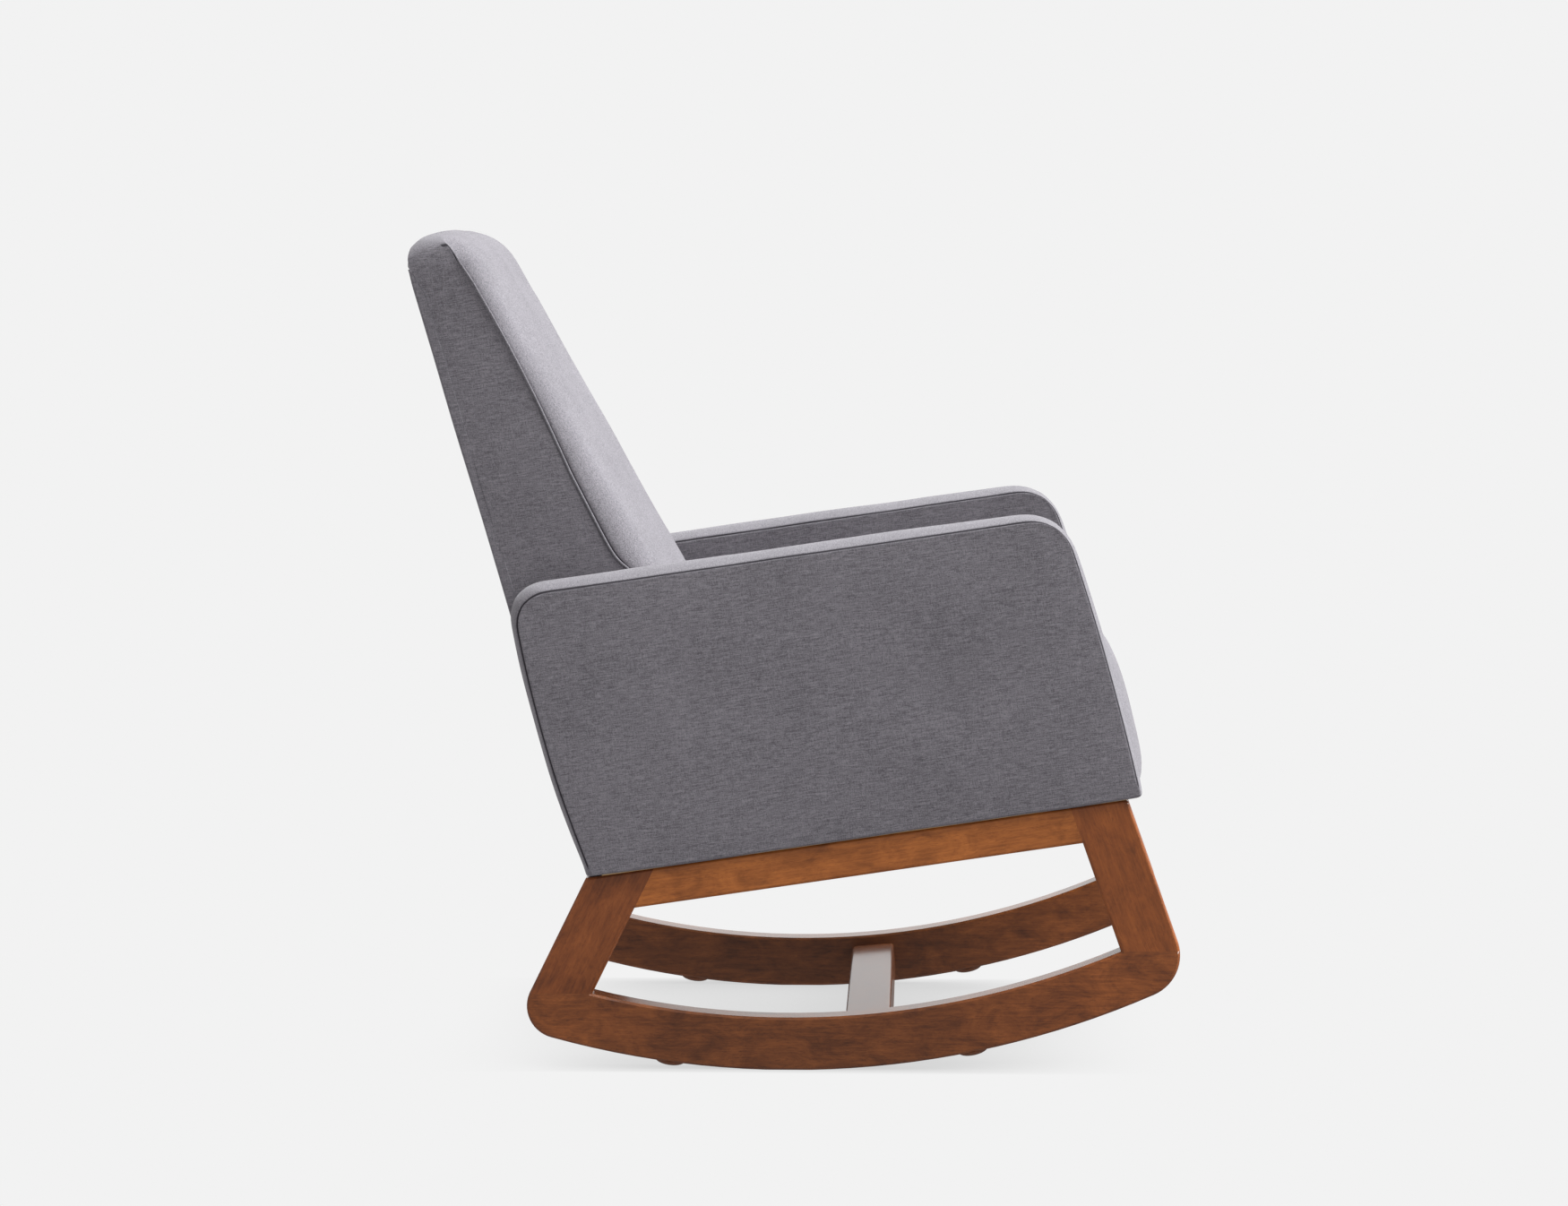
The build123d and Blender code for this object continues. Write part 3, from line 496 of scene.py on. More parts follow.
def cloth_material(name, dark, light, painted_seam_shade):
    """Cloth between two greys, whose streaks run level on the panels and across on the bands, with painted
    shade darkening its seams.
    """
    material, tree = new_material(name)
    place = add_node(tree, "ShaderNodeTexCoord").outputs["Object"]
    turned = add_node(tree, "ShaderNodeMapping", {"Vector": place, "Rotation": (TILT, 0, 0)})
    normal = add_node(tree, "ShaderNodeNewGeometry").outputs["Normal"]
    facing = add_node(tree, "ShaderNodeSeparateXYZ", {"Vector": normal}).outputs["X"]
    sideways = add_node(tree, "ShaderNodeMath", {0: facing}, operation="ABSOLUTE")
    on_side = add_node(tree, "ShaderNodeMapRange", {"Value": sideways, "From Min": 0.6, "From Max": 0.8})

    def threads(lengths, detail):
        scale = [1 / length for length in lengths]
        stretched = add_node(tree, "ShaderNodeMapping", {"Vector": turned, "Scale": scale})
        settings = {"Vector": stretched, "Scale": 1.0, "Detail": detail, "Roughness": 0.75}
        return add_node(tree, "ShaderNodeTexNoise", settings)

    on_panel = threads((THREAD, STREAK_LENGTH, THREAD), 2.0)
    on_band = threads((STREAK_LENGTH, THREAD, THREAD), 2.0)
    upright = threads((THREAD, THREAD, UPRIGHT_LENGTH), 1.0)
    fuzz = threads((THREAD, THREAD, THREAD), 1.0)
    patch = threads((PATCH, PATCH, PATCH), 2.0)
    lying = add_node(tree, "ShaderNodeMix", {"Factor": on_side, "A": on_band, "B": on_panel})
    fleck = add_node(tree, "ShaderNodeMix", {"Factor": 0.3, "A": lying, "B": upright})
    yarn = add_node(tree, "ShaderNodeMix", {"Factor": 0.35, "A": fleck, "B": fuzz})
    worn = add_node(tree, "ShaderNodeMix", {"Factor": 0.08, "A": yarn, "B": patch})
    relief = add_node(tree, "ShaderNodeMix", {"Factor": 0.4, "A": fleck, "B": fuzz})
    shade = add_node(tree, "ShaderNodeMapRange", {"Value": worn, "From Min": 0.39, "From Max": 0.61})
    greys = {0: shade, 6: linear(dark), 7: linear(light)}
    colour = add_node(tree, "ShaderNodeMix", greys, data_type="RGBA")
    # Painted shade: the colour darkens along the seams, standing in for the shadow in their grooves.
    edge = add_node(tree, "ShaderNodeAttribute", attribute_name="panel_edge").outputs["Fac"]
    groove = add_node(tree, "ShaderNodeMapRange", {"Value": edge, "From Min": 0.2, "From Max": 0.55})
    shaded = {0: groove, 6: colour, 7: linear(painted_seam_shade)}
    colour = add_node(tree, "ShaderNodeMix", shaded, data_type="RGBA")
    bump = add_node(tree, "ShaderNodeBump", {"Height": relief, "Strength": 0.3, "Distance": 0.0005})
    shader = add_node(tree, "ShaderNodeBsdfPrincipled", {
        "Base Color": colour, "Normal": bump, "Roughness": 0.92, "IOR": 1.45, "Specular IOR Level": 0.2,
        "Sheen Weight": 0.25, "Sheen Roughness": 0.4, "Sheen Tint": linear("#dcdade"),
    })
    add_node(tree, "ShaderNodeOutputMaterial", {"Surface": shader})
    return material


# The last grey is the painted shade in the seams' grooves.
heathered_cloth = cloth_material("heathered polyester weave", "#4f4c51", "#7b777d", "#2d2a2f")
print("made", heathered_cloth.name)

# %% [markdown]
# ## Stained hardwood
# The rocker frames are rubberwood, planed, stained walnut brown and given a satin clear lacquer. The stain
# gathers in the open pores as short dark dashes along the grain, and takes unevenly in soft clouds. The
# lacquer is smooth, so it mirrors the room at a low angle. The grain runs along each board, so each
# board's pattern is turned by its own angle in the side view.

# %% Wood
PORE_WIDTH = 0.0010
PORE_LENGTH = 0.006
GRAIN_WIDTH = 0.0030
GRAIN_LENGTH = 0.045
CLOUD_WIDTH = 0.026
CLOUD_LENGTH = 0.050
CENTRE_REACH = 0.13
ENDS_REACH = 0.32


def wood_material(name, angle, dark, middle, light, shift=0.0, lacquer=1.0, across=False, painted_centre_shade=1.0):
    """Wood whose grain runs at an angle over the horizontal in the side view, or across the chair.

    Towards the middle of the chair its colour falls to a share of what it is at the ends: painted shade, where
    the tub stands over the board."""
    material, tree = new_material(name)
    place = add_node(tree, "ShaderNodeTexCoord").outputs["Object"]
    turn = (0, 0, math.pi / 2) if across else (-angle, 0, 0)
    laid = {"Vector": place, "Rotation": turn, "Location": (shift, shift, shift)}
    turned = add_node(tree, "ShaderNodeMapping", laid)

    def streaks(width, length, detail, roughness, wander=0.0):
        scale = (1 / width, 1 / length, 1 / width)
        stretched = add_node(tree, "ShaderNodeMapping", {"Vector": turned, "Scale": scale})
        settings = {"Vector": stretched, "Scale": 1.0, "Detail": detail}
        settings.update({"Roughness": roughness, "Distortion": wander})
        return add_node(tree, "ShaderNodeTexNoise", settings)

    grain = streaks(GRAIN_WIDTH, GRAIN_LENGTH, 4.0, 0.7, 0.4)
    pores = streaks(PORE_WIDTH, PORE_LENGTH, 1.0, 0.5)
    cloud = streaks(CLOUD_WIDTH, CLOUD_LENGTH, 5.0, 0.7, 0.8)
    pore = add_node(tree, "ShaderNodeMapRange", {"Value": pores, "From Min": 0.57, "From Max": 0.72})
    tone = add_node(tree, "ShaderNodeMix", {"Factor": 0.6, "A": grain, "B": cloud})
    ramp = add_node(tree, "ShaderNodeValToRGB", {"Fac": tone})
    ramp.color_ramp.elements[0].position = 0.34
    ramp.color_ramp.elements[0].color = linear(dark)
    ramp.color_ramp.elements[1].position = 0.66
    ramp.color_ramp.elements[1].color = linear(light)
    ramp.color_ramp.elements.new(0.5).color = linear(middle)
    pore_share = add_node(tree, "ShaderNodeMath", {0: pore, 1: 0.45}, operation="MULTIPLY")
    colour = add_node(tree, "ShaderNodeMix", {0: pore_share, 6: ramp, 7: linear(dark)}, data_type="RGBA")
    # Painted shade: the colour darkens towards the middle of the chair, where the tub shades the runners.
    if painted_centre_shade < 1.0:
        along_chair = add_node(tree, "ShaderNodeSeparateXYZ", {"Vector": place}).outputs["Y"]
        reach = add_node(tree, "ShaderNodeMath", {0: along_chair}, operation="ABSOLUTE")
        limits = {"Value": reach, "From Min": CENTRE_REACH, "From Max": ENDS_REACH, "To Min": painted_centre_shade}
        strength = add_node(tree, "ShaderNodeMapRange", limits)
        colour = add_node(tree, "ShaderNodeHueSaturation", {"Color": colour, "Value": strength})
    dents = {"Height": pore, "Strength": 0.2, "Distance": 0.0002}
    bump = add_node(tree, "ShaderNodeBump", dents, invert=True)
    shader = add_node(tree, "ShaderNodeBsdfPrincipled", {
        "Base Color": colour, "Normal": bump, "Roughness": 0.6, "Specular IOR Level": 0.2,
        "Coat Weight": lacquer, "Coat Roughness": 0.16,
    })
    add_node(tree, "ShaderNodeOutputMaterial", {"Surface": shader})
    return material


print("pores are", PORE_LENGTH * 1000, "mm long and streaks of the grain", GRAIN_LENGTH * 1000, "mm")

# %% [markdown]
# ## Boards with eased edges
# A board's sharp edges are sanded round before it is stained, and they catch a thin line of light. The
# packed boards have sharp edges, so each is copied, its loose triangles are merged, and its edges get a
# small bevel, apart from the edges where one board is glued flush to the next.

# %% Copy a packed board
MERGED = 0.00001
FLAT = math.radians(0.4)


def surface(node):
    """A search tree over a node's faces."""
    mesh = node.data
    return BVHTree.FromPolygons([v.co for v in mesh.vertices], [p.vertices for p in mesh.polygons])


def merged_copy(name, node):
    """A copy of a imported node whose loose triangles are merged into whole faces."""
    select_only(node)
    bpy.ops.object.duplicate()
    copy = bpy.context.object
    copy.name = name
    bpy.ops.object.mode_set(mode="EDIT")
    bpy.ops.mesh.select_all(action="SELECT")
    bpy.ops.mesh.remove_doubles(threshold=MERGED)
    bpy.ops.mesh.dissolve_limited(angle_limit=FLAT)
    bpy.ops.mesh.select_all(action="DESELECT")
    bpy.ops.object.mode_set(mode="OBJECT")
    return copy


def folds(mesh, angle):
    """The keys of the edges where two faces meet at more than an angle."""
    normals = {}
    for polygon in mesh.polygons:
        for key in polygon.edge_keys:
            normals.setdefault(key, []).append(polygon.normal)
    return {key for key, sides in normals.items() if len(sides) == 2 and sides[0].angle(sides[1]) > angle}


print("faces within", round(math.degrees(FLAT), 1), "degrees of each other become one")

# %% Ease the edges of a copied board
EDGE_EASE = 0.0012
GLUED = 0.0004
SHARP = math.radians(30)
SMOOTH = math.radians(40)


def ease_edges(board, neighbours):
    """Bevels the sharp edges of a board that don't lie on a neighbour, and evens out its shading."""
    mesh = board.data
    sharp = folds(mesh, SHARP)
    for edge in mesh.edges:
        start, end = (mesh.vertices[index].co for index in edge.vertices)
        middle = (start + end) / 2
        glued = any(tree.find_nearest(middle, GLUED)[0] is not None for tree in neighbours)
        edge.select = edge.key in sharp and not glued
    bpy.context.tool_settings.mesh_select_mode = (False, True, False)
    bpy.ops.object.mode_set(mode="EDIT")
    bpy.ops.mesh.bevel(offset=EDGE_EASE, segments=2, affect="EDGES", clamp_overlap=True)
    bpy.ops.mesh.select_all(action="SELECT")
    bpy.ops.mesh.normals_make_consistent(inside=False)
    bpy.ops.object.mode_set(mode="OBJECT")
    bpy.ops.object.shade_smooth_by_angle(angle=SMOOTH)
    modify(board, "WEIGHTED_NORMAL", keep_sharp=True)


print("edges are eased by", EDGE_EASE * 1000, "mm")

# %% [markdown]
# The posts rake by their own angles and the rail lies along the tub, so each board has its own grain angle
# and its own three tones of stain. The runners are painted darker in the middle than towards their ends:
# painted shade, where the tub stands over them.

# %% Stain the boards
REAR_RAKE = math.radians(26.1)
FRONT_RAKE = math.radians(19.5)
# How dark the middle of a runner is painted, as painted shade under the tub.
RUNNER_PAINTED_SHADE = 0.65
GRAIN_SHIFT = 0.37
boards = {
    "runner": (0.0, "#532911", "#773f19", "#915022"),
    "rear_post": (math.pi / 2 + REAR_RAKE, "#582c13", "#743c18", "#85481f"),
    "front_post": (math.pi / 2 - FRONT_RAKE, "#613213", "#7e421a", "#8f4e1f"),
    "top_rail": (-TILT, "#753e15", "#975522", "#b0662b"),
}
wooden = {f"{side}_{board}": values for side in ("left", "right") for board, values in boards.items()}
wooden["stretcher"] = (0.0, "#47230f", "#663516", "#7c441d")
surfaces = {name: surface(frame["nodes"][name]) for name in wooden}
for number, (name, (angle, *tones)) in enumerate(wooden.items()):
    board = merged_copy(f"{name}_board", frame["nodes"][name])
    ease_edges(board, [tree for other, tree in surfaces.items() if other != name])
    material = wood_material(
        f"stained rubberwood {name}", angle, *tones, GRAIN_SHIFT * number,
        across=name == "stretcher", painted_centre_shade=RUNNER_PAINTED_SHADE if "runner" in name else 1.0,
    )
    paint(board, material)
    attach(board, "root")
    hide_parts(name)
    print(board.name, "has", len(board.data.polygons), "faces")

# %% [markdown]
# ## Rocking stops
# Under each runner sit two low domes of moulded nylon, coloured like the stain, that soften the end of the
# rocking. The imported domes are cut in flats, so a subdivided copy makes them round.

# %% A plain material
def plain_material(name, dark, light, grain, roughness, metallic=0.0, bump_depth=0.0001):
    """A material whose colour and surface vary a little, by grains of a real size."""
    material, tree = new_material(name)
    place = add_node(tree, "ShaderNodeTexCoord").outputs["Object"]
    scale = [1 / length for length in grain]
    stretched = add_node(tree, "ShaderNodeMapping", {"Vector": place, "Scale": scale})
    spots = add_node(tree, "ShaderNodeTexNoise", {"Vector": stretched, "Scale": 1.0, "Detail": 3.0})
    share = add_node(tree, "ShaderNodeMapRange", {"Value": spots, "From Min": 0.35, "From Max": 0.65})
    tones = {0: share, 6: linear(dark), 7: linear(light)}
    colour = add_node(tree, "ShaderNodeMix", tones, data_type="RGBA")
    limits = {"Value": spots, "To Min": roughness - 0.08, "To Max": roughness + 0.08}
    rough = add_node(tree, "ShaderNodeMapRange", limits)
    bump = add_node(tree, "ShaderNodeBump", {"Height": spots, "Strength": 0.3, "Distance": bump_depth})
    finish = {"Base Color": colour, "Roughness": rough, "Normal": bump, "Metallic": metallic}
    shader = add_node(tree, "ShaderNodeBsdfPrincipled", finish)
    add_node(tree, "ShaderNodeOutputMaterial", {"Surface": shader})
    return material


STOP_GRAIN = (0.002, 0.002, 0.002)
stop_nylon = plain_material("moulded nylon brown", "#5a3018", "#6a3a1e", STOP_GRAIN, 0.4)
print("made", stop_nylon.name)

# %% Rocking stops
RIM_FOLD = math.radians(60)
stops = merged_copy("rocking_stops", frame["nodes"]["stop_pads"])
rims = folds(stops.data, RIM_FOLD)
crease = stops.data.attributes.new("crease_edge", "FLOAT", "EDGE")
for edge in stops.data.edges:
    crease.data[edge.index].value = float(edge.key in rims)
modify(stops, "SUBSURF", levels=2, render_levels=2)
bpy.ops.object.shade_smooth()
paint(stops, stop_nylon)
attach(stops, "root")
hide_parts("stop_pads")
print(stops.name, "has", len(stops.data.polygons), "faces")

# %% [markdown]
# ## Inside the chair
# The frame inside the padding, its springs and its fasteners are as they come from the yard and the shop:
# planed pine, sanded plywood, beech, bright zinc and oiled wire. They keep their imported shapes.

# %% Materials of the hidden pieces
def length_material(name, box, dark, middle, light):
    """Bare wood whose grain runs along the longest side of a piece."""
    size = box[1] - box[0]
    if size.x > max(size.y, size.z):
        return wood_material(name, 0.0, dark, middle, light, lacquer=0.0, across=True)
    angle = math.pi / 2 - TILT if size.z > size.y else -TILT
    return wood_material(name, angle, dark, middle, light, lacquer=0.0)


WIRE_GRAIN = (0.004, 0.001, 0.001)
PLATE_GRAIN = (0.002, 0.002, 0.002)
FELT_GRAIN = (0.004, 0.0015, 0.004)
FIBRE_GRAIN = (0.0015, 0.0015, 0.0015)
JUTE_GRAIN = (0.001, 0.004, 0.001)
hidden = {
    "beech_dowel": wood_material(
        "turned beech", 0.0, "#a97c50", "#c0925f", "#cfa274", lacquer=0.0, across=True
    ),
    "spring_steel": plain_material("oil hardened spring wire", "#3a3a3d", "#5b5b60", WIRE_GRAIN, 0.38, 1.0),
    "zinc_steel": plain_material("bright zinc plate", "#a9abad", "#c6c8ca", PLATE_GRAIN, 0.34, 1.0),
    "felt": plain_material("needled felt", "#6d6961", "#97928a", FELT_GRAIN, 0.95, bump_depth=0.0008),
    "dust_cloth": plain_material("black spunbond cloth", "#151516", "#262628", FIBRE_GRAIN, 0.85),
    "webbing": plain_material("woven jute webbing", "#8b7350", "#b39a72", JUTE_GRAIN, 0.9, bump_depth=0.0005),
}
padded = {"left_arm_pad", "right_arm_pad", "seat_cushion", "back_cushion", "outside_back_panel"}
replaced = set(wooden) | padded | {"stop_pads"}
for subpart in frame["record"]["subparts"]:
    name, slot = subpart["node"], subpart["material_slot"]
    if name in replaced:
        continue
    if slot == "frame_timber":
        finish = length_material(f"planed pine {name}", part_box(name), "#b98f5e", "#cfa877", "#dcb98b")
    elif slot == "plywood":
        finish = length_material(f"sanded plywood {name}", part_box(name), "#b08a60", "#c6a176", "#d6b58c")
    else:
        finish = hidden[slot]
    paint(frame["nodes"][name], finish)
print("finished", len(frame["nodes"]) - len(replaced), "hidden pieces")

# %% [markdown]
# ## The arm panels
# Each arm is a flat sandwich: an outer and an inner panel of cloth, sewn to a band that runs up the front
# edge, along the top and down the rear edge. The band is crowned, because there is foam under it.

# %% Arms
ARM_CORNERS = ((-0.4005, 0.0), (-0.360, 0.332), (0.2815, 0.3364), (0.235, 0.0))
ARM_RADII = (0.006, 0.061, 0.038, 0.006)
ARM_SEAM_CORNERS = ((-0.3972, 0.003), (-0.3568, 0.3262), (0.2730, 0.3272), (0.2275, 0.003))
ARM_SEAM_RADII = (0.005, 0.048, 0.038, 0.005)
ARM_BOWS = (0.0034, 0.0, 0.007, 0.0)
ARM_THICKNESS = 0.086
ARM_CENTRE = 0.244 + ARM_THICKNESS / 2
ARM_GRID = grid((12, 72, 42), 0.64, 0.34)
ARM_TURN_IN = 0.012


def ease(share):
    """0 to 1 with a soft start and end."""
    share = min(max(share, 0.0), 1.0)
    return share * share * (3 - 2 * share)


def foot_crown(across, share):
    """Flat, with tight edges."""
    return (1 - across**6) ** 0.5


def band_crown(across, share):
    """Round like a thumb, and squarer at the foot, where the band turns under the panel."""
    thumb = top_band_crown(across, share)
    return thumb + (foot_crown(across, share) - thumb) * (1 - ease(share / 0.05))


def top_band_crown(across, share):
    """Between an arch and a lens, so that the band leaves its seams at a slant."""
    return 0.65 * (1 - across**2.6) + 0.35 * (1 - across**2.4) ** (1 / 2.4)


def turned_in(place):
    """Whether the arm's cover is stapled there, under the arm."""
    return in_tub(place)[1] < ARM_TURN_IN


def arm_cover(name, node, side):
    """One arm's cover: side is 1 on the chair's left and -1 on its right."""
    arm = pad(
        name, ARM_THICKNESS / 2 - 0.001, side * ARM_CENTRE,
        spaced(outline(ARM_SEAM_CORNERS, ARM_SEAM_RADII, ARM_BOWS), ARM_GRID),
        spaced(outline(ARM_CORNERS, ARM_RADII, ARM_BOWS), ARM_GRID),
        {"front": band_crown, "top": top_band_crown, "rear": band_crown, "foot": foot_crown}, ARM_GRID,
    )

    def sewn(place):
        return not turned_in(place)

    plump(arm, 0.0065, sewn, turned_in)
    sew(arm, sewn)
    settle(arm, 0.0012, 0.09, 1 + side)
    finish_pad(arm, heathered_cloth, [node])


arm_cover("left_arm_cover", "left_arm_pad", 1)
arm_cover("right_arm_cover", "right_arm_pad", -1)

# %% [markdown]
# ## The seat cushion
# The seat is one pad with a waterfall front: its top rolls over the front rail and hangs down before it. It
# stands a little proud of the arms, and its sides roll down where they meet them.

# %% Seat
SEAT_HALF = 0.2435
SEAT_MIDDLE = ((-0.409, 0.002), (-0.388, 0.186), (0.150, 0.186), (0.150, 0.079))
SEAT_SIDE = ((-0.397, 0.003), (-0.378, 0.172), (0.150, 0.172), (0.150, 0.079))
SEAT_RADII = (0.008, 0.038, 0.004, 0.004)
SEAT_BOWS = (0.0045, 0.0, 0.0, 0.0)
SEAT_DROP = 0.028
SEAT_REAR = 0.16
SEAT_GRID = grid((44, 46, 20), 0.55, 0.18)


def seat_outline(corners):
    """The foot of the seat runs back under the drop, up behind it, and back along the springs."""
    sides = outline(corners, SEAT_RADII, SEAT_BOWS)
    start, end = sides["foot"][0], sides["foot"][-1]
    behind = corners[0][0] + SEAT_DROP
    sides["foot"] = [start, Vector((behind, start.y)), Vector((behind, end.y)), end]
    return sides


def roll(edge):
    """A crown that is nearly flat and rolls down near the sides; edge says how near."""
    return lambda across, share: 0.4 * (1 - across**2) + 0.6 * (1 - across**edge) ** 0.5


seat = pad(
    "seat_pad", SEAT_HALF, 0.0,
    spaced(seat_outline(SEAT_SIDE), SEAT_GRID), spaced(seat_outline(SEAT_MIDDLE), SEAT_GRID),
    {key: roll(10) for key in ("front", "top", "rear", "foot")}, SEAT_GRID,
)
plump(seat, 0.004, everywhere, lambda place: place.y > SEAT_REAR)
sew(seat, everywhere)
settle(seat, 0.002, 0.11, 3)
finish_pad(seat, heathered_cloth, ["seat_cushion"])

# %% [markdown]
# ## The back cushion
# The back's cover is a hood: a long pillow in front, two flat side panels and a rounded top. The pillow
# meets the side panels in a seam that leans with the pillow, and ends under the rounded top in a dart.

# %% Lines of the back
BACK_HALF = 0.243
BACK_FOOT_W = 0.1865
BACK_TOP_W = 0.745
HOOD_FRONT_W = 0.7528
HOOD_REAR_W = 0.7400
BACK_PANEL = 0.0112
PANEL_RIM = 0.004
PANEL_TAPER = 0.035
PANEL_TOP_W = 0.7060
PANEL_SIDE_TOP_W = 0.7035
BACK_LEAN = 0.3387
LEAN_FOOT_U, LEAN_FOOT_W = 0.0984, 0.184
OUTSIDE_LEAN = 0.1385
OUTSIDE_LOW_U, OUTSIDE_LOW_W = 0.2744, 0.250
CROWN_LOW = 0.0456
CROWN_HIGH = 0.0200
ARM_LINE_W = 0.334
SEAM_BOW = 0.0045
SEAM_TURN = 0.010
SEAM_END = Vector((0.287, 0.728))
HOOD_REAR = Vector((0.3360, 0.7165))


def lean_u(w):
    """The straight line that the pillow leans back along."""
    return LEAN_FOOT_U + BACK_LEAN * (w - LEAN_FOOT_W)


def seam_u(w):
    """The seam between pillow and side panel: it bows forward a little, and turns forward at the arms."""
    bow = SEAM_BOW * math.sin(math.pi * min(max((w - 0.45) / 0.25, 0), 1))
    turn = SEAM_TURN * math.exp(-max(w - ARM_LINE_W, 0) / 0.009)
    return lean_u(w) - bow - turn + 0.003 * ease((w - 0.68) / 0.04)


def crown_u(w):
    """The pillow's front, down its middle."""
    share = (w - BACK_FOOT_W) / (BACK_TOP_W - BACK_FOOT_W)
    return lean_u(w) - (CROWN_LOW + (CROWN_HIGH - CROWN_LOW) * share) * math.hypot(1, BACK_LEAN)


def outside_u(w):
    """The rear of the outside back. It curves in a little below."""
    return OUTSIDE_LOW_U + OUTSIDE_LEAN * (w - OUTSIDE_LOW_W) - 0.2 * max(OUTSIDE_LOW_W - w, 0) ** 2


def panel_depth(w):
    """How thick the outside back is. It thins out towards its top edge."""
    return PANEL_RIM + (BACK_PANEL - PANEL_RIM) * ease((PANEL_TOP_W - w) / PANEL_TAPER)


print("the back leans", round(math.degrees(math.atan(BACK_LEAN)), 1), "degrees against the tub")

# %% Cross sections of the back
SHOULDER = 0.034
PILLOW_EDGE_LOW = 0.046
PILLOW_EDGE_HIGH = 0.027


def shoulder(u, w):
    """The hood's side panels roll over into its top."""
    rise = min(max(w - (BACK_TOP_W - SHOULDER), 0.0), SHOULDER) / SHOULDER
    return SHOULDER * (1 - math.sqrt(1 - 0.92 * rise**2))


def pillow_crown(across, share):
    """The pillow's cross section: a round edge beside each seam, wider low down, and a nearly flat front."""
    edge = PILLOW_EDGE_LOW + (PILLOW_EDGE_HIGH - PILLOW_EDGE_LOW) * share
    inside = min((1 - across) * BACK_HALF / edge, 1.0)
    return 0.9 * math.sqrt(1 - (1 - inside) ** 2) + 0.1 * (1 - across**2)


def hood_crown(across, share):
    """The pillow's section at its upper end goes on over the top."""
    return pillow_crown(across, 1.0)


print("the pillow is", round(pillow_crown(0.9, 0.5), 2), "of its height a tenth in from its edge")

# %% Outlines of the back
BACK_GRID = grid((44, 18, 66), 0.1, 0.56)
LIP_ROWS = 6
BACK_RADII = (0.004, 0.052, 0.026, 0.004)
BACK_SHARES = (0.5, 0.8, 0.6, 0.5)
BACK_CORNERS = (
    (crown_u(BACK_FOOT_W), BACK_FOOT_W),
    (crown_u(HOOD_FRONT_W), HOOD_FRONT_W),
    (outside_u(HOOD_REAR_W) - 0.0018, HOOD_REAR_W),
    (outside_u(BACK_FOOT_W), BACK_FOOT_W),
)


def rear_rows(top_w, above):
    """The hood's rear: in front of the outside back up to its top, and then out over it along above."""
    below = len(BACK_GRID[2]) - 1 - LIP_ROWS
    low = [BACK_FOOT_W + (top_w - BACK_FOOT_W) * k / below for k in range(below + 1)]
    over = [along(above, k / (LIP_ROWS - 1)) for k in range(LIP_ROWS)]
    return [Vector((outside_u(w) - panel_depth(w), w)) for w in low] + over


seam_line = [Vector((seam_u(w), w)) for w in (BACK_FOOT_W + 0.004 * k for k in range(135))]
side_foot_end = Vector((outside_u(BACK_FOOT_W) - BACK_PANEL, BACK_FOOT_W))
back_side = spaced(
    {
        "front": seam_line + [SEAM_END],
        "top": [SEAM_END, Vector((0.313, 0.7265)), HOOD_REAR],
        "rear": [side_foot_end, HOOD_REAR],
        "foot": [seam_line[0], side_foot_end],
    },
    BACK_GRID,
)
side_over = [Vector((outside_u(PANEL_SIDE_TOP_W) - 0.003, PANEL_SIDE_TOP_W + 0.001)), HOOD_REAR]
back_side["rear"] = rear_rows(PANEL_SIDE_TOP_W, side_over)
middle_sides = outline(BACK_CORNERS, BACK_RADII, shares=BACK_SHARES)
back_middle = spaced(middle_sides, BACK_GRID)
middle_over = [point for point in middle_sides["rear"] if point.y > PANEL_TOP_W + 0.010]
middle_over.insert(0, Vector((outside_u(PANEL_TOP_W) + 0.002, PANEL_TOP_W + 0.001)))
back_middle["rear"] = rear_rows(PANEL_TOP_W, middle_over)
back_middle["foot"] = [middle_sides["front"][0].lerp(side_foot_end, share) for share in BACK_GRID[1]]
print("the hood's top is", round((back_middle["top"][-1] - back_middle["top"][0]).length * 1000), "mm deep")

# %% Back cushion
back = pad(
    "back_cover", BACK_HALF, 0.0, back_side, back_middle,
    {"front": pillow_crown, "top": hood_crown, "rear": hood_crown, "foot": pillow_crown}, BACK_GRID, shoulder,
)


def at_outside_back(place, reach=0.006):
    """Whether a place lies within reach of the outside back."""
    u, w = in_tub(place)
    return u > outside_u(w) - panel_depth(w) - reach


def hidden_back(place):
    """The foot of the cushion and the part before the outside back, which nobody sees."""
    u, w = in_tub(place)
    return w < BACK_FOOT_W + 0.001 or (at_outside_back(place) and w < PANEL_TOP_W + 0.002)


def sewn_back(place):
    """The seams beside the pillow. The other edges of the side panels are turned over, not sewn."""
    u, w = in_tub(place)
    return u < seam_u(w) + 0.008


def hood_top(place):
    """How far a place belongs to the top of the hood, where the cloth runs over smoothly."""
    return 0.0 if at_outside_back(place) else ease((in_tub(place)[1] - 0.700) / 0.025)


plump(back, 0.0018, sewn_back, hidden_back)
soften(back, sewn_back, hood_top, 8)
sew(back, sewn_back, butted=lambda place: at_outside_back(place, 0.001) and in_tub(place)[1] < PANEL_TOP_W)
settle(back, 0.002, 0.12, 5)
finish_pad(back, heathered_cloth, ["back_cushion"])

# %% [markdown]
# ## Ridges on the back's seams
# The two seams beside the pillow are top-stitched: the turned-in edges stand up as a slim ridge, with the
# groove of the seam on either side. A thin tube along each seam is that ridge. It sinks in and fades out
# where the seam ends in its dart.

# %% Ridges on the back's seams
RIDGE_RADIUS = 0.0015
RIDGE_STEP = 0.008
RIDGE_POINTS = 67
RIDGE_FADE = 0.025
RIDGE_RISE = 0.0030
RIDGE_SINK = 0.0020


def seam_point(side, w, proud):
    """A point of the seam on one side, standing proud of the side panel."""
    u = seam_u(w)
    return tub(side * (BACK_HALF - shoulder(u, w) + proud), u - 0.0006, w)


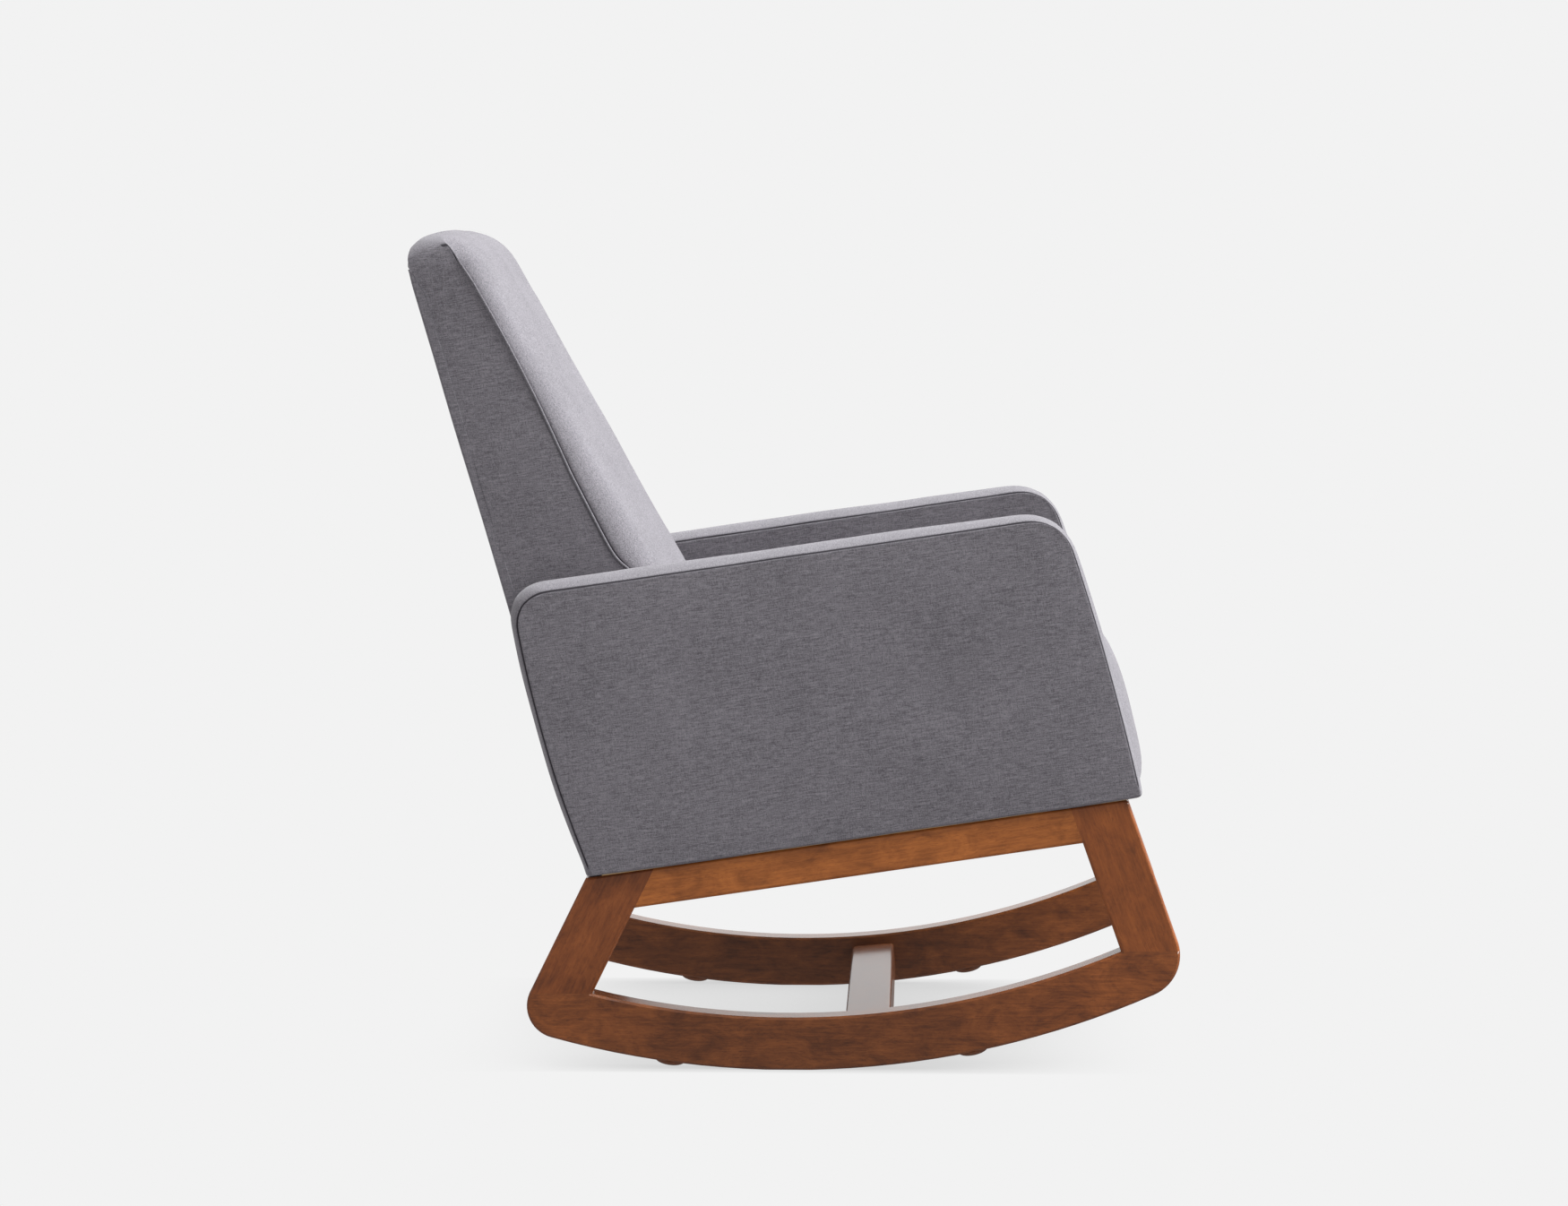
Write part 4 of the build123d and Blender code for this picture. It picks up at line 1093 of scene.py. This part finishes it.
ridge_curve = bpy.data.curves.new("back_seam_ridges", "CURVE")
ridge_curve.dimensions = "3D"
ridge_curve.bevel_depth = RIDGE_RADIUS
ridge_curve.bevel_resolution = 2
ridge_curve.use_fill_caps = True
ridge_curve.resolution_u = 3
for side in (-1, 1):
    heights = [BACK_FOOT_W + 0.002 + RIDGE_STEP * k for k in range(RIDGE_POINTS)]
    spline = ridge_curve.splines.new("NURBS")
    spline.points.add(len(heights) - 1)
    for point, height in zip(spline.points, heights):
        fading_out = ease((SEAM_END.y - 0.006 - height) / RIDGE_FADE)
        point.co = (*seam_point(side, height, RIDGE_RISE * fading_out - RIDGE_SINK), 1.0)
        point.radius = 0.3 + 0.7 * fading_out
    spline.order_u = 3
    spline.use_endpoint_u = True
ridges = bpy.data.objects.new("back_seam_ridges", ridge_curve)
bpy.context.collection.objects.link(ridges)
select_only(ridges)
bpy.ops.object.convert(target="MESH")
bpy.ops.object.shade_smooth()
ridges = bpy.context.object
paint(ridges, heathered_cloth)
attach(ridges, "root")
print(ridges.name, "has", len(ridges.data.polygons), "faces")

# %% [markdown]
# ## The outside back
# The chair is closed behind by a board, padded with wadding and covered with the same cloth. It is drawn
# tight against the hood along its edges, so only a fine gap shows between them.

# %% Outside back
OUTSIDE_GRID = grid((40, 6, 70), BACK_PANEL, 0.7)
RIM_CELL = 0.001
OUTSIDE_CROWN = 0.0045
OVERLAP = 0.0015
SET_IN = 0.0025
RIM_SET_IN = 0.0010
RIM = 0.02


def board_rows(top_w, swell):
    """The board's outline: front and rear lines, with the ends across between them.

    The front overlaps the hood, so that no light comes through the gap. The rear swells out."""
    counts, _, w_rows = OUTSIDE_GRID
    heights = [top_w * share for share in w_rows]
    across = rows(BACK_PANEL, counts[1], RIM_CELL)
    front = [Vector((outside_u(w) - panel_depth(w) - OVERLAP, w)) for w in heights]
    rear = [
        Vector((outside_u(w) - SET_IN - RIM_SET_IN * ease((w - top_w + RIM) / RIM) + swell, w))
        for w in heights
    ]
    return {
        "front": front, "rear": rear,
        "foot": [front[0].lerp(rear[0], share) for share in across],
        "top": [front[-1].lerp(rear[-1], share) for share in across],
    }


def board_crown(across, share):
    """Nearly flat, with tight edges."""
    return (1 - across**14) ** 0.5


outside = pad(
    "outside_back_cover", BACK_HALF + 0.0006, 0.0,
    board_rows(PANEL_SIDE_TOP_W + 0.0005, 0.0), board_rows(PANEL_TOP_W + 0.0005, OUTSIDE_CROWN),
    {"front": hood_crown, "top": hood_crown, "rear": board_crown, "foot": board_crown}, OUTSIDE_GRID,
)
sew(outside, nowhere, butted=lambda place: not at_outside_back(place, 0.0005))
settle(outside, 0.0015, 0.13, 7)
finish_pad(outside, heathered_cloth, ["outside_back_panel"])

# %% [markdown]
# ## Room and light
# A pale sweep of floor, a soft sky all round, and one broad light from above and in front, a little from the
# chair's left. It is a sun with a very wide disc, so that its shadows are soft. The floor glows, as a lit
# studio floor does, and a painted shadow darkens its glow where the chair stands close over it. It lights the
# chair from below a little less than it shows, and the lacquer mirrors less of it still, which keeps the
# stain's depth.

# %% Floor
FLOOR_SIZE = 60.0
FLOOR_LIGHT = 0.76
FLOOR_MIRRORED = 0.2
BACKGROUND = "#f2f2f2"
SHADOW_REACH = 0.42
SHADOW_DEPTH = 0.3
SHADOW_HALF_WIDTH = 0.335
SHADOW_HALF_LENGTH = 0.30

bpy.ops.object.select_all(action="DESELECT")
bpy.ops.mesh.primitive_plane_add(size=FLOOR_SIZE, location=(0, 0, 0))
floor = bpy.context.object
floor.name = "floor"
floor_material, floor_tree = new_material("painted studio floor")
close_by = {"Distance": SHADOW_REACH}
open_share = add_node(floor_tree, "ShaderNodeAmbientOcclusion", close_by, samples=8).outputs["AO"]
floor_place = add_node(floor_tree, "ShaderNodeTexCoord").outputs["Object"]
on_floor = add_node(floor_tree, "ShaderNodeSeparateXYZ", {"Vector": floor_place}).outputs


def fading(axis, reach, softness):
    """1 within reach of the chair's middle along an axis, and 0 beyond it."""
    away = add_node(floor_tree, "ShaderNodeMath", {0: on_floor[axis]}, operation="ABSOLUTE")
    limits = {"Value": away, "From Min": reach - softness, "From Max": reach + softness}
    limits.update({"To Min": 1.0, "To Max": 0.0})
    return add_node(floor_tree, "ShaderNodeMapRange", limits, interpolation_type="SMOOTHSTEP")


def for_rays(kind, other, value):
    """A strength that is value for one kind of ray, and other for the rest."""
    share = add_node(floor_tree, "ShaderNodeLightPath").outputs[kind]
    return add_node(floor_tree, "ShaderNodeMix", {"Factor": share, "A": other, "B": value})


# Painted shadow: within the chair's footprint the floor's glow is dimmed by how closely the chair covers it.
covered = add_node(floor_tree, "ShaderNodeMath", {0: 1.0, 1: open_share}, operation="SUBTRACT")
sides = {0: fading("X", SHADOW_HALF_WIDTH, 0.012), 1: fading("Y", SHADOW_HALF_LENGTH, 0.15)}
under = add_node(floor_tree, "ShaderNodeMath", sides, operation="MULTIPLY")
dimmed = add_node(floor_tree, "ShaderNodeMath", {0: covered, 1: under}, operation="MULTIPLY")
limits = {"Value": dimmed, "To Min": 1.0, "To Max": 1 - SHADOW_DEPTH}
seen = add_node(floor_tree, "ShaderNodeMapRange", limits)
glow = for_rays("Is Camera Ray", for_rays("Is Glossy Ray", FLOOR_LIGHT, FLOOR_MIRRORED), seen)
floor_shader = add_node(floor_tree, "ShaderNodeBsdfPrincipled", {
    "Base Color": linear("#000000"), "Specular IOR Level": 0.0, "Roughness": 1.0,
    "Emission Color": linear(BACKGROUND), "Emission Strength": glow,
})
add_node(floor_tree, "ShaderNodeOutputMaterial", {"Surface": floor_shader})
paint(floor, floor_material)
print("laid the floor")

# %% Sky and light
SKY_STRENGTH = 0.90
MIRRORED_STRENGTH = 0.25
KEY_STRENGTH = 9.3
KEY_DISC = math.radians(60)
KEY_DIRECTION = Vector((-0.09, 0.65, -0.75))
KEY_COLOUR = "#fbfffd"

world = bpy.data.worlds.new("studio")
world.use_nodes = True
bpy.context.scene.world = world
sky_tree = world.node_tree
sky_tree.nodes.clear()
ray = add_node(sky_tree, "ShaderNodeLightPath").outputs
sky_place = add_node(sky_tree, "ShaderNodeTexCoord").outputs["Generated"]
direction = add_node(sky_tree, "ShaderNodeSeparateXYZ", {"Vector": sky_place}).outputs["X"]
limits = {"Value": direction, "From Min": 0.1, "From Max": 0.6, "To Min": MIRRORED_STRENGTH, "To Max": 1.0}
backdrop = add_node(sky_tree, "ShaderNodeMapRange", limits)
lighting = add_node(sky_tree, "ShaderNodeBackground", {"Color": linear("#ffffff"), "Strength": SKY_STRENGTH})
mirrored = add_node(sky_tree, "ShaderNodeBackground", {"Color": linear(BACKGROUND), "Strength": backdrop})
behind = add_node(sky_tree, "ShaderNodeBackground", {"Color": linear(BACKGROUND), "Strength": 1.0})
sky = add_node(sky_tree, "ShaderNodeMixShader", {0: ray["Is Glossy Ray"], 1: lighting, 2: mirrored})
sky = add_node(sky_tree, "ShaderNodeMixShader", {0: ray["Is Camera Ray"], 1: sky, 2: behind})
add_node(sky_tree, "ShaderNodeOutputWorld", {"Surface": sky})

key_data = bpy.data.lights.new("key", "SUN")
key_data.energy = KEY_STRENGTH
key_data.angle = KEY_DISC
key_data.color = linear(KEY_COLOUR)[:3]
key = bpy.data.objects.new("key", key_data)
bpy.context.collection.objects.link(key)
key.rotation_euler = KEY_DIRECTION.to_track_quat("-Z", "Y").to_euler()

bpy.context.scene.view_settings.view_transform = "Standard"
print("lit the studio")

# %% [markdown]
# ## End
# The dressed chair may not outgrow the imported one.

# %% End
print("the chair is dressed")
